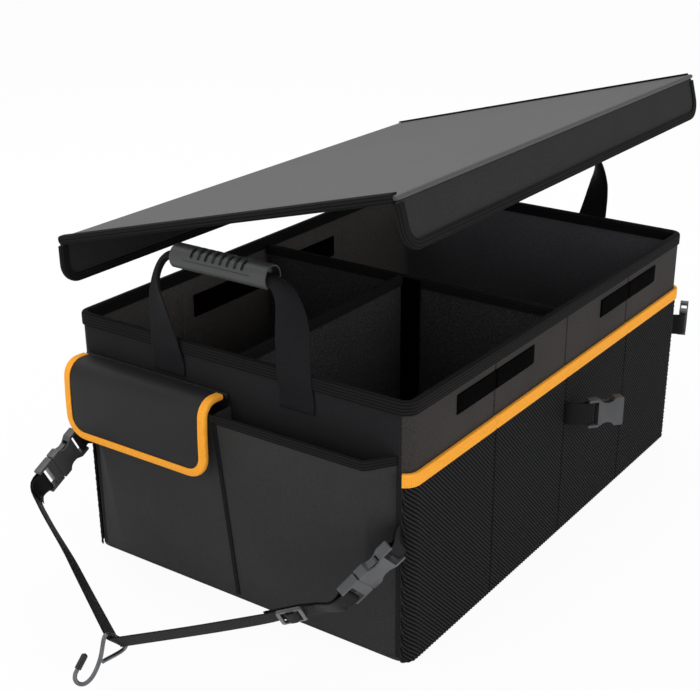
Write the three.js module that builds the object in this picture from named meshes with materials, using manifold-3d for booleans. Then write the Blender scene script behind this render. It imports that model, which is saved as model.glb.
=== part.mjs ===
// Car trunk organizer: a stiffened fabric box with two dividers, a loose base board, end pockets,
// webbing handles with moulded grips, belt-level buckle tabs, a hook strap and a lifted lid.
// Millimetres, +Z up. +X is the long side, the origin is the centre of the base's underside.
import * as THREE from "three";
import { mergeVertices } from "three/addons/utils/BufferGeometryUtils.js";
import Module from "manifold-3d";

// Box
const LENGTH = 600;
const WIDTH = 400;
const HEIGHT = 270;
const WALL = 4;
const CORNER_R = 12;
const GAP = 0.3;
const FLOOR = 4;
const CREASE_HALF = 2.2;
const CREASE_DEPTH = 1.1;

// Rim tape and the mesh layer with its bright band
const TAPE = 1.5;
const RIM_TAPE_HEIGHT = 13;
const MESH_BOTTOM = 1;
const MESH_THICK = 1.6;
const BAND_BOTTOM = 188;
const BAND_HEIGHT = 13;
const BAND_SKIN = 1;
const BAND_OVERLAP = 8;

// Hook-and-loop strips
const STRIP_THICK = 1.2;
const STRIP_LENGTH = 151;
const STRIP_HEIGHT = 20;
const STRIP_BELOW_RIM = 21;
const STRIP_FROM_LEFT = 79;
const STRIP_FROM_RIGHT = 69;
const INNER_STRIP_BELOW_RIM = 33;
const INNER_STRIP_HEIGHT = 26;
const INNER_STRIP_LENGTH = 266;

// Base board and dividers
const BOARD = 4;
const BOARD_R = 22;
const BOARD_ROOM = 2;
const PULL_TAB_LENGTH = 22;
const PULL_TAB_WIDTH = 28;
const PULL_TAB_INSET = 1;
const DIVIDER = 4;
const DIVIDER_BELOW_RIM = 8;
const DIVIDER_TAPE_HEIGHT = 11;
const SHORT_DIVIDER_Y = 4;
const DIVIDER_TAB_WIDTH = 28;
const DIVIDER_TAB_LENGTH = 152;

// Handles
const HANDLE_WEB = 40;
const HANDLE_WEB_THICK = 2;
const HANDLE_LEG_Y = 78;
const HANDLE_SEWN = 38;
const HANDLE_TWIST = 79;
const GRIP_RISE = 85;
const GRIP_LENGTH = 130;
const GRIP_R = 15;
const GRIP_WALL = 3.5;
const GRIP_OPEN = 38;
const GRIP_SLOTS = 8;
const GRIP_SLOT_PITCH = 8.4;
const GRIP_SLOT_WIDTH = 3.2;
const GRIP_SLOT_DEPTH = 1.6;

// End pockets
const POCKET_BOTTOM = 5;
const POCKET_BELOW_RIM = 53;
const POCKET_OUT = 25;
const POCKET_FOLD_IN_TOP = 30;
const POCKET_FOLD_IN_BOTTOM = 41;
const POCKET_SKIN = 2;
const POCKET_TAPE_HEIGHT = 9;
const POCKET_LINE_WIDTH = 5;
const FLAP_START = 4;
const FLAP_FROM_CORNER = 10;
const FLAP_DROP = 77;
const FLAP_THICK = 5;
const FLAP_CORNER_R = 24;
const FLAP_TRIM = 9.5;
const FLAP_TRIM_SKIN = 0.8;
const FLAP_PIVOT_OUT = 8;
const FLAP_PIVOT_RISE = 10;

// Buckles and webbing of the belt
const WEB = 25;
const WEB_THICK = 1.4;
const WEB_ROOM = 0.6;
const BELT_Z = 147;
const RAIL = 2.9;
const BUCKLE_HALF_THICK = 5;
const FEMALE_LENGTH = 40;
const MALE_LENGTH = 21;
const BAR_THICK = 3.5;
const BAR_AT = 2.6;
const BAR_WINDOW = 11;
const MOUTH_HALF_WIDTH = 13.2;
const MOUTH_HALF_THICK = 3.4;
const MOUTH_DEPTH = 26;
const ADJUSTER_HALF_LENGTH = 12;
const ADJUSTER_HALF_THICK = 1.5;
const ADJUSTER_LIFT = 2.3;

// Hook and its strap
const WIRE_R = 2;
const RING_HALF = 17;
const SLEEVE_LENGTH = 15;
const SLEEVE_THICK = 0.8;
const STRAP_REACH = 173;
const STRAP_APEX_Z = 50;
const ADJUSTER_REACH = 72;
const ADJUSTER_FROM_SIDE = 79;
const ADJUSTER_Z = 67.5;

// Lid
const LID_OVER_END = 10;
const LID_OVER_REAR = 10;
const LID_OVER_FRONT = 6;
const LID_THICK = 5;
const LID_TILT = -15.15;
const LID_FOLD_RISE = 74.8;
const SKIRT = 47;
const SKIRT_THICK = 3;
const SKIRT_R = 22;
const SKIRT_TAPE = 9;

const wasm = await Module();
wasm.setup();

const root = new THREE.Group();

const MATERIALS = {
  fabric: [0x2b2a2c, 0.85, 0],
  end_fabric: [0x29292b, 0.8, 0],
  lid_fabric: [0x3a3a3b, 0.85, 0],
  tape: [0x0d0d0e, 0.9, 0],
  mesh: [0x17171a, 0.85, 0],
  orange: [0xf39a2b, 0.75, 0],
  loop: [0x0a0a0b, 0.95, 0],
  webbing: [0x111113, 0.85, 0],
  plastic: [0x1c1d1f, 0.45, 0],
  lining: [0x222224, 0.9, 0],
  wire: [0x3b3c3f, 0.4, 0.9],
  sleeve: [0x0b0b0c, 0.6, 0],
};

// The manifold solid of a three.js geometry.
function solid(geometry) {
  const plain = geometry.clone();
  for (const name of ["normal", "uv"]) {
    plain.deleteAttribute(name);
  }
  const merged = mergeVertices(plain, 1e-4);
  return new wasm.Manifold(
    new wasm.Mesh({
      numProp: 3,
      vertProperties: new Float32Array(merged.attributes.position.array),
      triVerts: new Uint32Array(merged.index.array),
    }),
  );
}

// The three.js geometry of a manifold solid.
function geometryOf(body) {
  const mesh = body.getMesh();
  const geometry = new THREE.BufferGeometry();
  geometry.setAttribute("position", new THREE.BufferAttribute(mesh.vertProperties, 3));
  geometry.setIndex(new THREE.BufferAttribute(mesh.triVerts, 1));
  const flat = geometry.toNonIndexed();
  flat.computeVertexNormals();
  return flat;
}

function add(parent, name, body, slot) {
  const [color, roughness, metalness] = MATERIALS[slot];
  const mesh = new THREE.Mesh(
    geometryOf(body),
    new THREE.MeshStandardMaterial({ color, roughness, metalness }),
  );
  mesh.name = name;
  parent.add(mesh);
}

function box(x0, x1, y0, y1, z0, z1) {
  const geometry = new THREE.BoxGeometry(x1 - x0, y1 - y0, z1 - z0);
  geometry.translate((x0 + x1) / 2, (y0 + y1) / 2, (z0 + z1) / 2);
  return solid(geometry);
}

// A prism of a plane outline. The plane is "xy", "xz" or "yz", and the prism runs along the third axis.
function prism(outline, from, to, plane = "xy") {
  const shape = new THREE.Shape(outline.map(([a, b]) => new THREE.Vector2(a, b)));
  const geometry = new THREE.ExtrudeGeometry(shape, { depth: to - from, bevelEnabled: false });
  geometry.translate(0, 0, from);
  if (plane === "xz") {
    geometry.applyMatrix4(new THREE.Matrix4().set(1, 0, 0, 0, 0, 0, -1, 0, 0, 1, 0, 0, 0, 0, 0, 1));
    geometry.translate(0, from + to, 0);
  }
  if (plane === "yz") {
    geometry.applyMatrix4(new THREE.Matrix4().set(0, 0, 1, 0, 1, 0, 0, 0, 0, 1, 0, 0, 0, 0, 0, 1));
  }
  return solid(geometry);
}

// Points of an arc, angles in degrees.
function arc(cx, cy, r, from, to, steps = 5) {
  return Array.from({ length: steps + 1 }, (_, i) => {
    const angle = THREE.MathUtils.degToRad(from + ((to - from) * i) / steps);
    return [cx + r * Math.cos(angle), cy + r * Math.sin(angle)];
  });
}

function roundedRect(halfX, halfY, r, steps = 5) {
  return [
    ...arc(halfX - r, halfY - r, r, 0, 90, steps),
    ...arc(-halfX + r, halfY - r, r, 90, 180, steps),
    ...arc(-halfX + r, -halfY + r, r, 180, 270, steps),
    ...arc(halfX - r, -halfY + r, r, 270, 360, steps),
  ];
}

// A panel outline with square upper corners and rounded lower ones, grown outwards by grow.
function hanging(a0, a1, bottom, top, r, grow = 0) {
  return [
    [a1 + grow, top],
    [a0 - grow, top],
    ...arc(a0 + r, bottom + r, r + grow, 180, 270),
    ...arc(a1 - r, bottom + r, r + grow, 270, 360),
  ];
}

// A flat strip swept along stations: centre, unit width direction, width. The thickness is across both.
function ribbon(stations, thickness) {
  const corners = [];
  stations.forEach(({ at, across, width }, i) => {
    const before = stations[Math.max(i - 1, 0)].at;
    const after = stations[Math.min(i + 1, stations.length - 1)].at;
    const along = after.clone().sub(before).normalize();
    const side = across.clone().addScaledVector(along, -across.dot(along)).normalize();
    const up = along.clone().cross(side);
    for (const [s, u] of [[-1, -1], [1, -1], [1, 1], [-1, 1]]) {
      const corner = at.clone();
      corner.addScaledVector(side, (s * width) / 2);
      corner.addScaledVector(up, (u * thickness) / 2);
      corners.push(corner.x, corner.y, corner.z);
    }
  });
  const faces = [0, 2, 1, 0, 3, 2];
  for (let i = 0; i + 1 < stations.length; i += 1) {
    for (let k = 0; k < 4; k += 1) {
      const a = 4 * i + k;
      const b = 4 * i + ((k + 1) % 4);
      faces.push(a, b, b + 4, a, b + 4, a + 4);
    }
  }
  const last = 4 * (stations.length - 1);
  faces.push(last, last + 1, last + 2, last, last + 2, last + 3);
  const geometry = new THREE.BufferGeometry();
  geometry.setAttribute("position", new THREE.Float32BufferAttribute(corners, 3));
  geometry.setIndex(faces);
  return solid(geometry);
}

// Floor panel: the sewn bottom of the box.
const outerPlan = roundedRect(LENGTH / 2, WIDTH / 2, CORNER_R);
add(root, "floor_panel", prism(outerPlan, 0, FLOOR), "fabric");

// Long walls: each wraps both rounded corners as far as the end walls. Three crease lines fold a wall
// in four equal panels.
const wallBottom = FLOOR + GAP;
const wallTop = HEIGHT - TAPE - GAP;
const creases = [-LENGTH / 4, 0, LENGTH / 4];

// The plan of a layer on the near long side: from distance "inner" to "outer" outside the wall's face.
// Its outer face is always creased, and its inner face too when the layer is thin.
function longLayerPlan(inner, outer, thin = true) {
  const cx = LENGTH / 2 - CORNER_R;
  const cy = -WIDTH / 2 + CORNER_R;
  const notch = (y, depth) => creases.flatMap((x) => [
    [x - CREASE_HALF, y],
    [x, y + depth],
    [x + CREASE_HALF, y],
  ]);
  const outside = [
    ...arc(-cx, cy, CORNER_R + outer, 180, 270),
    ...notch(-WIDTH / 2 - outer, CREASE_DEPTH),
    ...arc(cx, cy, CORNER_R + outer, 270, 360),
  ];
  const inside = [
    ...arc(cx, cy, CORNER_R + inner, 360, 270),
    ...(thin ? notch(-WIDTH / 2 - inner, CREASE_DEPTH).reverse() : []),
    ...arc(-cx, cy, CORNER_R + inner, 270, 180),
  ];
  return [...outside, ...inside];
}

const turned = (body) => body.rotate([0, 0, 180]);
const wallPlan = longLayerPlan(-WALL, 0, false);
const longWall = prism(wallPlan, wallBottom, wallTop);
add(root, "front_wall", longWall, "fabric");
add(root, "rear_wall", turned(longWall), "fabric");

const seamY = WIDTH / 2 - CORNER_R;
const endWall = box(-LENGTH / 2, -LENGTH / 2 + WALL, -seamY + GAP, seamY - GAP, wallBottom, wallTop);
add(root, "left_end_wall", endWall, "end_fabric");
add(root, "right_end_wall", turned(endWall), "end_fabric");

// Rim tape: a U-shaped binding over the top edge of all four walls.
const rimOut = GAP + TAPE;
const rimShell = prism(
  roundedRect(LENGTH / 2 + rimOut, WIDTH / 2 + rimOut, CORNER_R + rimOut),
  HEIGHT - RIM_TAPE_HEIGHT,
  HEIGHT,
);
const rimInner = prism(
  roundedRect(
    LENGTH / 2 - WALL - rimOut,
    WIDTH / 2 - WALL - rimOut,
    CORNER_R - WALL - rimOut,
  ),
  0,
  HEIGHT + 1,
);
const wallRing = prism(roundedRect(LENGTH / 2 + GAP, WIDTH / 2 + GAP, CORNER_R + GAP), 0, wallTop + GAP)
  .subtract(prism(
    roundedRect(LENGTH / 2 - WALL - GAP, WIDTH / 2 - WALL - GAP, CORNER_R - WALL - GAP),
    -1,
    HEIGHT,
  ));
add(root, "rim_tape", rimShell.subtract(rimInner).subtract(wallRing), "tape");

// Mesh layer and its bright top band on both long sides. The band folds over the mesh's top edge.
const meshTop = BAND_BOTTOM + BAND_OVERLAP;
const meshInner = GAP + BAND_SKIN + GAP;
const meshOuter = meshInner + MESH_THICK;
const bandOuter = meshOuter + GAP + BAND_SKIN;
const meshLayer = prism(longLayerPlan(meshInner, meshOuter), MESH_BOTTOM, meshTop);
const band = prism(longLayerPlan(GAP, bandOuter), BAND_BOTTOM, BAND_BOTTOM + BAND_HEIGHT)
  .subtract(prism(
    longLayerPlan(GAP + BAND_SKIN, bandOuter - BAND_SKIN),
    0,
    meshTop + GAP,
  ));
add(root, "front_mesh_layer", meshLayer, "mesh");
add(root, "rear_mesh_layer", turned(meshLayer), "mesh");
add(root, "front_band", band, "orange");
add(root, "rear_band", turned(band), "orange");

// Hook-and-loop strips outside the long walls, notched over the crease lines.
const stripTop = HEIGHT - STRIP_BELOW_RIM;
const stripZone = prism(longLayerPlan(GAP, GAP + STRIP_THICK), stripTop - STRIP_HEIGHT, stripTop);
const stripStarts = [-LENGTH / 2 + STRIP_FROM_LEFT, LENGTH / 2 - STRIP_FROM_RIGHT - STRIP_LENGTH];
stripStarts.forEach((start, i) => {
  const side = ["left", "right"][i];
  const strip = stripZone.intersect(box(start, start + STRIP_LENGTH, -WIDTH, 0, 0, HEIGHT));
  add(root, `front_${side}_strip`, strip, "loop");
  add(root, `rear_${side}_strip`, strip.mirror([0, 1, 0]), "loop");
});

// Loop strips inside the long walls that the main divider's ends press onto.
const innerFace = WIDTH / 2 - WALL;
const innerStripTop = HEIGHT - INNER_STRIP_BELOW_RIM;
const innerStrip = box(
  -INNER_STRIP_LENGTH / 2,
  INNER_STRIP_LENGTH / 2,
  -innerFace + GAP,
  -innerFace + GAP + STRIP_THICK,
  innerStripTop - INNER_STRIP_HEIGHT,
  innerStripTop,
);
add(root, "front_inner_strip", innerStrip, "loop");
add(root, "rear_inner_strip", innerStrip.mirror([0, 1, 0]), "loop");

// Base board with a centre crease, and a small pull tab at each short end.
const boardBottom = FLOOR + GAP;
const boardTop = boardBottom + BOARD;
const boardHalfX = LENGTH / 2 - WALL - BOARD_ROOM;
const boardHalfY = WIDTH / 2 - WALL - BOARD_ROOM;
const boardCrease = prism(
  [[-CREASE_HALF, boardTop + 1], [0, boardTop - CREASE_DEPTH], [CREASE_HALF, boardTop + 1]],
  -WIDTH,
  WIDTH,
  "xz",
);
const board = prism(roundedRect(boardHalfX, boardHalfY, BOARD_R), boardBottom, boardTop);
add(root, "base_board", board.subtract(boardCrease), "lining");
const pullTabStart = -boardHalfX + PULL_TAB_INSET;
const pullTab = box(
  pullTabStart,
  pullTabStart + PULL_TAB_LENGTH,
  -PULL_TAB_WIDTH / 2,
  PULL_TAB_WIDTH / 2,
  boardTop + GAP,
  boardTop + GAP + WEB_THICK,
);
add(root, "left_pull_tab", pullTab, "webbing");
add(root, "right_pull_tab", turned(pullTab), "webbing");

// Main divider across the box, and the short one from it to the left end wall.
const dividerBottom = boardTop + GAP;
const mainHalf = innerFace - STRIP_THICK - 2 * GAP;
const tapeOut = GAP + TAPE;
const mainTapeHalf = innerFace - rimOut - GAP;

const dividerTop = HEIGHT - DIVIDER_BELOW_RIM;
const dividerTapeLow = dividerTop - DIVIDER_TAPE_HEIGHT;
const panelTop = dividerTop - TAPE - GAP;
add(
  root,
  "main_divider",
  box(-DIVIDER / 2, DIVIDER / 2, -mainHalf, mainHalf, dividerBottom, panelTop),
  "lining",
);
const mainTape = box(
  -DIVIDER / 2 - tapeOut,
  DIVIDER / 2 + tapeOut,
  -mainTapeHalf,
  mainTapeHalf,
  dividerTapeLow,
  dividerTop,
)
  .subtract(box(-DIVIDER / 2 - GAP, DIVIDER / 2 + GAP, -WIDTH, WIDTH, 0, dividerTop - TAPE));
add(root, "main_divider_tape", mainTape, "tape");
const tabBack = -DIVIDER / 2 - tapeOut - GAP;
const shortStart = -LENGTH / 2 + WALL + STRIP_THICK + 2 * GAP;
const shortEnd = tabBack - STRIP_THICK - GAP;
const shortY0 = SHORT_DIVIDER_Y - DIVIDER / 2;
const shortY1 = SHORT_DIVIDER_Y + DIVIDER / 2;
const shortBottom = dividerBottom + WEB_THICK + GAP;
add(
  root,
  "short_divider",
  box(shortStart, shortEnd, shortY0, shortY1, shortBottom, panelTop),
  "lining",
);
const shortTape = box(
  shortStart,
  shortEnd,
  shortY0 - tapeOut,
  shortY1 + tapeOut,
  dividerTapeLow,
  dividerTop,
)
  .subtract(box(shortStart - 1, shortEnd + 1, shortY0 - GAP, shortY1 + GAP, 0, dividerTop - TAPE));
add(root, "short_divider_tape", shortTape, "tape");

// Hook tabs at both ends of the short divider: flat strips turned along the panels they grip.
const tabY1 = shortY1;
const tabY0 = tabY1 - DIVIDER_TAB_WIDTH;
const innerTabTop = dividerTop - 2;
const outerTabTop = HEIGHT - RIM_TAPE_HEIGHT - 1;
add(
  root,
  "short_divider_inner_tab",
  box(tabBack - STRIP_THICK, tabBack, tabY0, tabY1, innerTabTop - DIVIDER_TAB_LENGTH, innerTabTop),
  "loop",
);
const endTabX = -LENGTH / 2 + WALL + GAP;
add(
  root,
  "short_divider_outer_tab",
  box(endTabX, endTabX + STRIP_THICK, tabY0, tabY1, outerTabTop - DIVIDER_TAB_LENGTH, outerTabTop),
  "loop",
);

// Handles: a webbing loop sewn outside each end wall, gathered through a moulded grip.
const v = (x, y, z) => new THREE.Vector3(x, y, z);
const legX = -LENGTH / 2 - GAP - HANDLE_WEB_THICK / 2;
const loopX = -LENGTH / 2 - rimOut - GAP - HANDLE_WEB_THICK / 2;
const gripEnd = GRIP_LENGTH / 2;
const gripZ = HEIGHT + GRIP_RISE;
const webZ = gripZ - 3;
const tapeFoot = HEIGHT - RIM_TAPE_HEIGHT;
const twistZ = (share) => gripZ - HANDLE_TWIST * share;

// Each station of a leg: x, y, z, the webbing's twist in degrees and its gathered share of the width.
const legStations = [
  [legX, HANDLE_LEG_Y, HEIGHT - HANDLE_SEWN, 0, 1],
  [legX, HANDLE_LEG_Y, tapeFoot - 12, 0, 1],
  [loopX, HANDLE_LEG_Y, tapeFoot - 2, 0, 1],
  [loopX, HANDLE_LEG_Y, twistZ(1), 0, 1],
  [loopX, HANDLE_LEG_Y, twistZ(0.77), 18, 0.96],
  [loopX, HANDLE_LEG_Y + 0.5, twistZ(0.54), 45, 0.86],
  [loopX, HANDLE_LEG_Y + 0.5, twistZ(0.34), 72, 0.72],
  [loopX, HANDLE_LEG_Y - 1, twistZ(0.19), 90, 0.6],
  [loopX, HANDLE_LEG_Y - 5, twistZ(0.09), 90, 0.52],
  [loopX, gripEnd + 2, webZ, 90, 0.5],
  [loopX, gripEnd - 8, webZ, 90, 0.5],
];
const handleSide = (sign) => legStations.map(([x, y, z, twist, share]) => {
  const angle = THREE.MathUtils.degToRad(twist);
  return {
    at: v(x, sign * y, z),
    across: v(-Math.sin(angle), sign * Math.cos(angle), 0),
    width: HANDLE_WEB * share,
  };
});
const handleWeb = ribbon([...handleSide(1), ...handleSide(-1).reverse()], HANDLE_WEB_THICK);

// Grip: a moulded C-section with its gap below, and a row of shallow slots across its top.
const gripSection = [
  ...arc(loopX, gripZ, GRIP_R, -90 + GRIP_OPEN, 270 - GRIP_OPEN, 22),
  ...arc(loopX, gripZ, GRIP_R - GRIP_WALL, 270 - GRIP_OPEN, -90 + GRIP_OPEN, 22),
];
const gripCore = prism(arc(loopX, gripZ, GRIP_R - GRIP_SLOT_DEPTH, 0, 350, 35), -gripEnd, gripEnd, "xz");
const slotHalfX = GRIP_R * 0.8;
let grip = prism(gripSection, -gripEnd, gripEnd, "xz");
for (let i = 0; i < GRIP_SLOTS; i += 1) {
  const y = (i - (GRIP_SLOTS - 1) / 2) * GRIP_SLOT_PITCH;
  const slot = box(
    loopX - slotHalfX,
    loopX + slotHalfX,
    y - GRIP_SLOT_WIDTH / 2,
    y + GRIP_SLOT_WIDTH / 2,
    gripZ + GRIP_R / 2,
    gripZ + GRIP_R + 1,
  );
  grip = grip.subtract(slot.subtract(gripCore));
}
for (const end of ["left", "right"]) {
  const side = end === "left" ? (body) => body : turned;
  add(root, `${end}_handle_webbing`, side(handleWeb), "webbing");
  add(root, `${end}_handle_grip`, side(grip), "plastic");
}

// End pockets: one panel that leans out from the base, its folded ends, and a web between two pockets.
const pocketIn = -LENGTH / 2 - GAP;
const pocketTop = HEIGHT - POCKET_BELOW_RIM;

// The pocket's outer face at a height, and where its end folds are.
const pocketShare = (z) => (z - POCKET_BOTTOM) / (pocketTop - POCKET_BOTTOM);
const pocketFace = (z) => pocketIn - POCKET_SKIN - POCKET_OUT * pocketShare(z);
const pocketFold = (z) => (
  WIDTH / 2 - THREE.MathUtils.lerp(POCKET_FOLD_IN_BOTTOM, POCKET_FOLD_IN_TOP, pocketShare(z))
);

// A solid between a convex plan outline at the height z0 and one with as many points at z1.
function loft(plan, z0, z1) {
  const rings = [z0, z1].map((z) => plan(z).map(([x, y]) => [x, y, z]));
  const n = rings[0].length;
  const flatRings = rings.flat();
  const faces = [];
  for (let i = 1; i + 1 < n; i += 1) {
    faces.push(0, i + 1, i, n, n + i, n + i + 1);
  }
  for (let i = 0; i < n; i += 1) {
    const j = (i + 1) % n;
    faces.push(i, j, n + j, i, n + j, n + i);
  }
  const geometry = new THREE.BufferGeometry();
  geometry.setAttribute("position", new THREE.Float32BufferAttribute(flatRings.flat(), 3));
  geometry.setIndex(faces);
  return solid(geometry);
}

// The pocket cloth is a strip from seam to seam around both folds. Its inner side is offset by skin.
const seamEnd = seamY - 1;
const pocketOutline = (grow) => (z) => [
  [pocketIn, seamEnd + grow],
  [pocketFace(z) - grow, pocketFold(z) + grow],
  [pocketFace(z) - grow, -pocketFold(z) - grow],
  [pocketIn, -seamEnd - grow],
];
const slab = (z0, z1) => box(-LENGTH, 0, -WIDTH, WIDTH, z0, z1);
const pocketBlock = (grow, z0, z1) => loft(pocketOutline(grow), POCKET_BOTTOM, pocketTop + 1)
  .intersect(slab(z0, z1));
const pocketCavity = pocketBlock(-POCKET_SKIN, POCKET_BOTTOM, pocketTop + 1);
const pocketWeb = box(-LENGTH, pocketIn, FLAP_START - POCKET_SKIN, FLAP_START, 0, pocketTop);
const tapeTop = pocketTop - TAPE;
const pocketShell = pocketBlock(0, POCKET_BOTTOM, pocketTop).subtract(pocketCavity);
const pocketWhole = pocketShell.add(pocketBlock(0, POCKET_BOTTOM, pocketTop).intersect(pocketWeb));
const openSide = box(-LENGTH, 0, -WIDTH, FLAP_START - POCKET_SKIN, 0, HEIGHT);
const pocketCut = openSide.intersect(slab(tapeTop - GAP, HEIGHT));
add(root, "end_pocket_body", pocketWhole.subtract(pocketCut), "end_fabric");

// Black tape over the open pocket's top edge, from the web to the near seam.
const tapeLow = pocketTop - POCKET_TAPE_HEIGHT;
const openTape = pocketBlock(tapeOut, tapeLow, pocketTop)
  .subtract(pocketBlock(-POCKET_SKIN - tapeOut, tapeLow - 1, pocketTop + 1))
  .subtract(pocketBlock(GAP, tapeLow - 1, tapeTop)
    .subtract(pocketBlock(-POCKET_SKIN - GAP, tapeLow - 1, tapeTop)))
  .intersect(box(-LENGTH, pocketIn - GAP, -WIDTH, FLAP_START - POCKET_SKIN - GAP, 0, HEIGHT));
add(root, "open_pocket_tape", openTape, "tape");

// Dark tape down the line between the two pockets.
const lineTape = pocketBlock(GAP + 1, POCKET_BOTTOM + 2, tapeLow - GAP)
  .subtract(pocketBlock(GAP, 0, HEIGHT))
  .intersect(box(-LENGTH, 0, FLAP_START - POCKET_LINE_WIDTH, FLAP_START, 0, HEIGHT));
add(root, "pocket_line_tape", lineTape, "tape");

// Pocket flap: a padded flap with a bright edge, hinged on a hem sewn to the end wall.
const flapGroup = new THREE.Group();
const flapPivotX = -LENGTH / 2 - FLAP_PIVOT_OUT;
const flapPivotZ = pocketTop + FLAP_PIVOT_RISE;
const flapEnd = WIDTH / 2 - FLAP_FROM_CORNER;
flapGroup.position.set(flapPivotX, 0, flapPivotZ);
root.add(flapGroup);
const flapHalf = FLAP_THICK / 2;
add(
  root,
  "flap_hem",
  box(flapPivotX + flapHalf + GAP, pocketIn, FLAP_START, flapEnd, flapPivotZ - 4, flapPivotZ + 3),
  "end_fabric",
);

// The flap's mid line in the XZ plane, from the hinge over the padded top and down, clear of the
// pocket's upper edge.
const flapOut = POCKET_OUT + 2.5;
const flapTurnR = 15;
const flapLine = [
  [0, 0],
  [-flapOut / 3, 0.6],
  ...arc(-flapOut + flapTurnR + 1.5, 0.6 - flapTurnR, flapTurnR, 90, 180, 6),
  [-flapOut + 0.5, -FLAP_DROP * 0.42],
  [-flapOut, -FLAP_DROP],
];

// The strip of a given half thickness around a plane line.
function band2(line, half) {
  const side = (sign) => line.map(([x, z], i) => {
    const [ax, az] = line[Math.max(i - 1, 0)];
    const [bx, bz] = line[Math.min(i + 1, line.length - 1)];
    const length = Math.hypot(bx - ax, bz - az);
    return [x - (sign * half * (bz - az)) / length, z + (sign * half * (bx - ax)) / length];
  });
  return [...side(1), ...side(-1).reverse()];
}

const flapFace = (grow) => (
  prism(hanging(FLAP_START, flapEnd, -FLAP_DROP, FLAP_THICK, FLAP_CORNER_R, grow), -LENGTH, LENGTH, "yz")
);
const flapBlock = (half, grow) => prism(band2(flapLine, half), FLAP_START - grow, flapEnd + grow, "xz")
  .intersect(flapFace(grow));
const flapSide = GAP + FLAP_TRIM_SKIN;
const flapRoot = prism(arc(0, 0, flapHalf, 0, 337.5, 15), FLAP_START + flapSide, flapEnd - flapSide, "xz");
const flapBody = flapBlock(flapHalf, -flapSide).add(flapRoot);
const flapTrim = flapBlock(flapHalf + flapSide, 0)
  .subtract(flapBlock(flapHalf + FLAP_TRIM, -FLAP_TRIM))
  .subtract(flapBlock(flapHalf + GAP, -FLAP_TRIM_SKIN))
  .intersect(box(-LENGTH, -flapHalf - 2 * GAP, -WIDTH, WIDTH, -HEIGHT, HEIGHT));
add(flapGroup, "pocket_flap", flapBody, "end_fabric");
add(flapGroup, "pocket_flap_trim", flapTrim, "orange");

// Buckle halves in their own frame: +X from the webbing tail to the mating end, Y the width.
const railInner = WEB / 2 + WEB_ROOM;
const buckleHalf = railInner + RAIL;
const waist = buckleHalf - 5;
const femaleSide = [
  [0, buckleHalf - 1],
  [1, buckleHalf],
  [BAR_WINDOW, buckleHalf],
  [BAR_WINDOW + 7, waist + 0.5],
  [FEMALE_LENGTH - 17, waist],
  [FEMALE_LENGTH - 13, waist + 1.5],
  [FEMALE_LENGTH - 10, buckleHalf],
  [FEMALE_LENGTH - 1, buckleHalf],
  [FEMALE_LENGTH, buckleHalf - 1],
];
const mirrored = (side) => [...side, ...side.map(([x, y]) => [x, -y]).reverse()].reverse();

// An eight-sided webbing bar between a buckle's two rails.
function buckleBar(x) {
  const section = arc(x, 0, BAR_THICK / 2, 22.5, 337.5, 7);
  return prism(section, -railInner - 1, railInner + 1, "xz");
}

const mouth = box(
  FEMALE_LENGTH - MOUTH_DEPTH,
  FEMALE_LENGTH + 1,
  -MOUTH_HALF_WIDTH,
  MOUTH_HALF_WIDTH,
  -MOUTH_HALF_THICK,
  MOUTH_HALF_THICK,
);
const female = prism(mirrored(femaleSide), -BUCKLE_HALF_THICK, BUCKLE_HALF_THICK)
  .subtract(mouth)
  .subtract(box(-1, BAR_WINDOW, -railInner, railInner, -FEMALE_LENGTH, FEMALE_LENGTH))
  .add(buckleBar(BAR_AT));

const maleStart = FEMALE_LENGTH + GAP;
const maleEnd = FEMALE_LENGTH + MALE_LENGTH;
const maleBarAt = maleEnd - BAR_AT;
const maleHalfThick = BUCKLE_HALF_THICK - 0.6;
const armHalf = MOUTH_HALF_THICK - 0.5;
const armTip = FEMALE_LENGTH - MOUTH_DEPTH + 3;
const maleSide = [
  [maleStart, buckleHalf - 3],
  [maleStart + 1, buckleHalf],
  [maleEnd - 1, buckleHalf],
  [maleEnd, buckleHalf - 1],
];
const arm = [
  [maleStart + 1, MOUTH_HALF_WIDTH - 4.2],
  [armTip + 3, MOUTH_HALF_WIDTH - 6.7],
  [armTip, MOUTH_HALF_WIDTH - 5.2],
  [armTip, MOUTH_HALF_WIDTH - 2.2],
  [armTip + 3, MOUTH_HALF_WIDTH - 0.4],
  [armTip + 11, MOUTH_HALF_WIDTH - 0.4],
  [armTip + 12.5, MOUTH_HALF_WIDTH - 1.7],
  [maleStart + 1, MOUTH_HALF_WIDTH - 0.6],
];
const male = prism(mirrored(maleSide), -maleHalfThick, maleHalfThick)
  .add(prism(arm, -armHalf, armHalf))
  .add(prism(arm.map(([x, y]) => [x, -y]).reverse(), -armHalf, armHalf))
  .add(box(armTip + 2, maleStart + 1, -2, 2, -armHalf, armHalf))
  .subtract(box(maleEnd - BAR_WINDOW, maleEnd + 1, -railInner, railInner, -FEMALE_LENGTH, FEMALE_LENGTH))
  .add(buckleBar(maleBarAt));

// A group whose X runs along a direction and whose Y is the width direction.
function placed(origin, along, across) {
  const x = along.clone().normalize();
  const y = across.clone().addScaledVector(x, -across.dot(x)).normalize();
  const z = x.clone().cross(y);
  const group = new THREE.Group();
  group.position.copy(origin);
  group.quaternion.setFromRotationMatrix(new THREE.Matrix4().makeBasis(x, y, z));
  root.add(group);
  group.updateMatrixWorld(true);
  return group;
}

// Webbing doubled round a buckle's bar. Both plies start in a seam, where their width runs along "rise".
const loopR = BAR_THICK / 2 + GAP + 0.2 + WEB_THICK / 2;
const plyOffset = WEB_THICK / 2 + 0.25;
const TAB_STEPS = 5;

function world(group, x, y, z) {
  return group.localToWorld(v(x, y, z));
}

function turnedDirection(group, x, y, z) {
  return v(x, y, z).applyQuaternion(group.quaternion);
}

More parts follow.
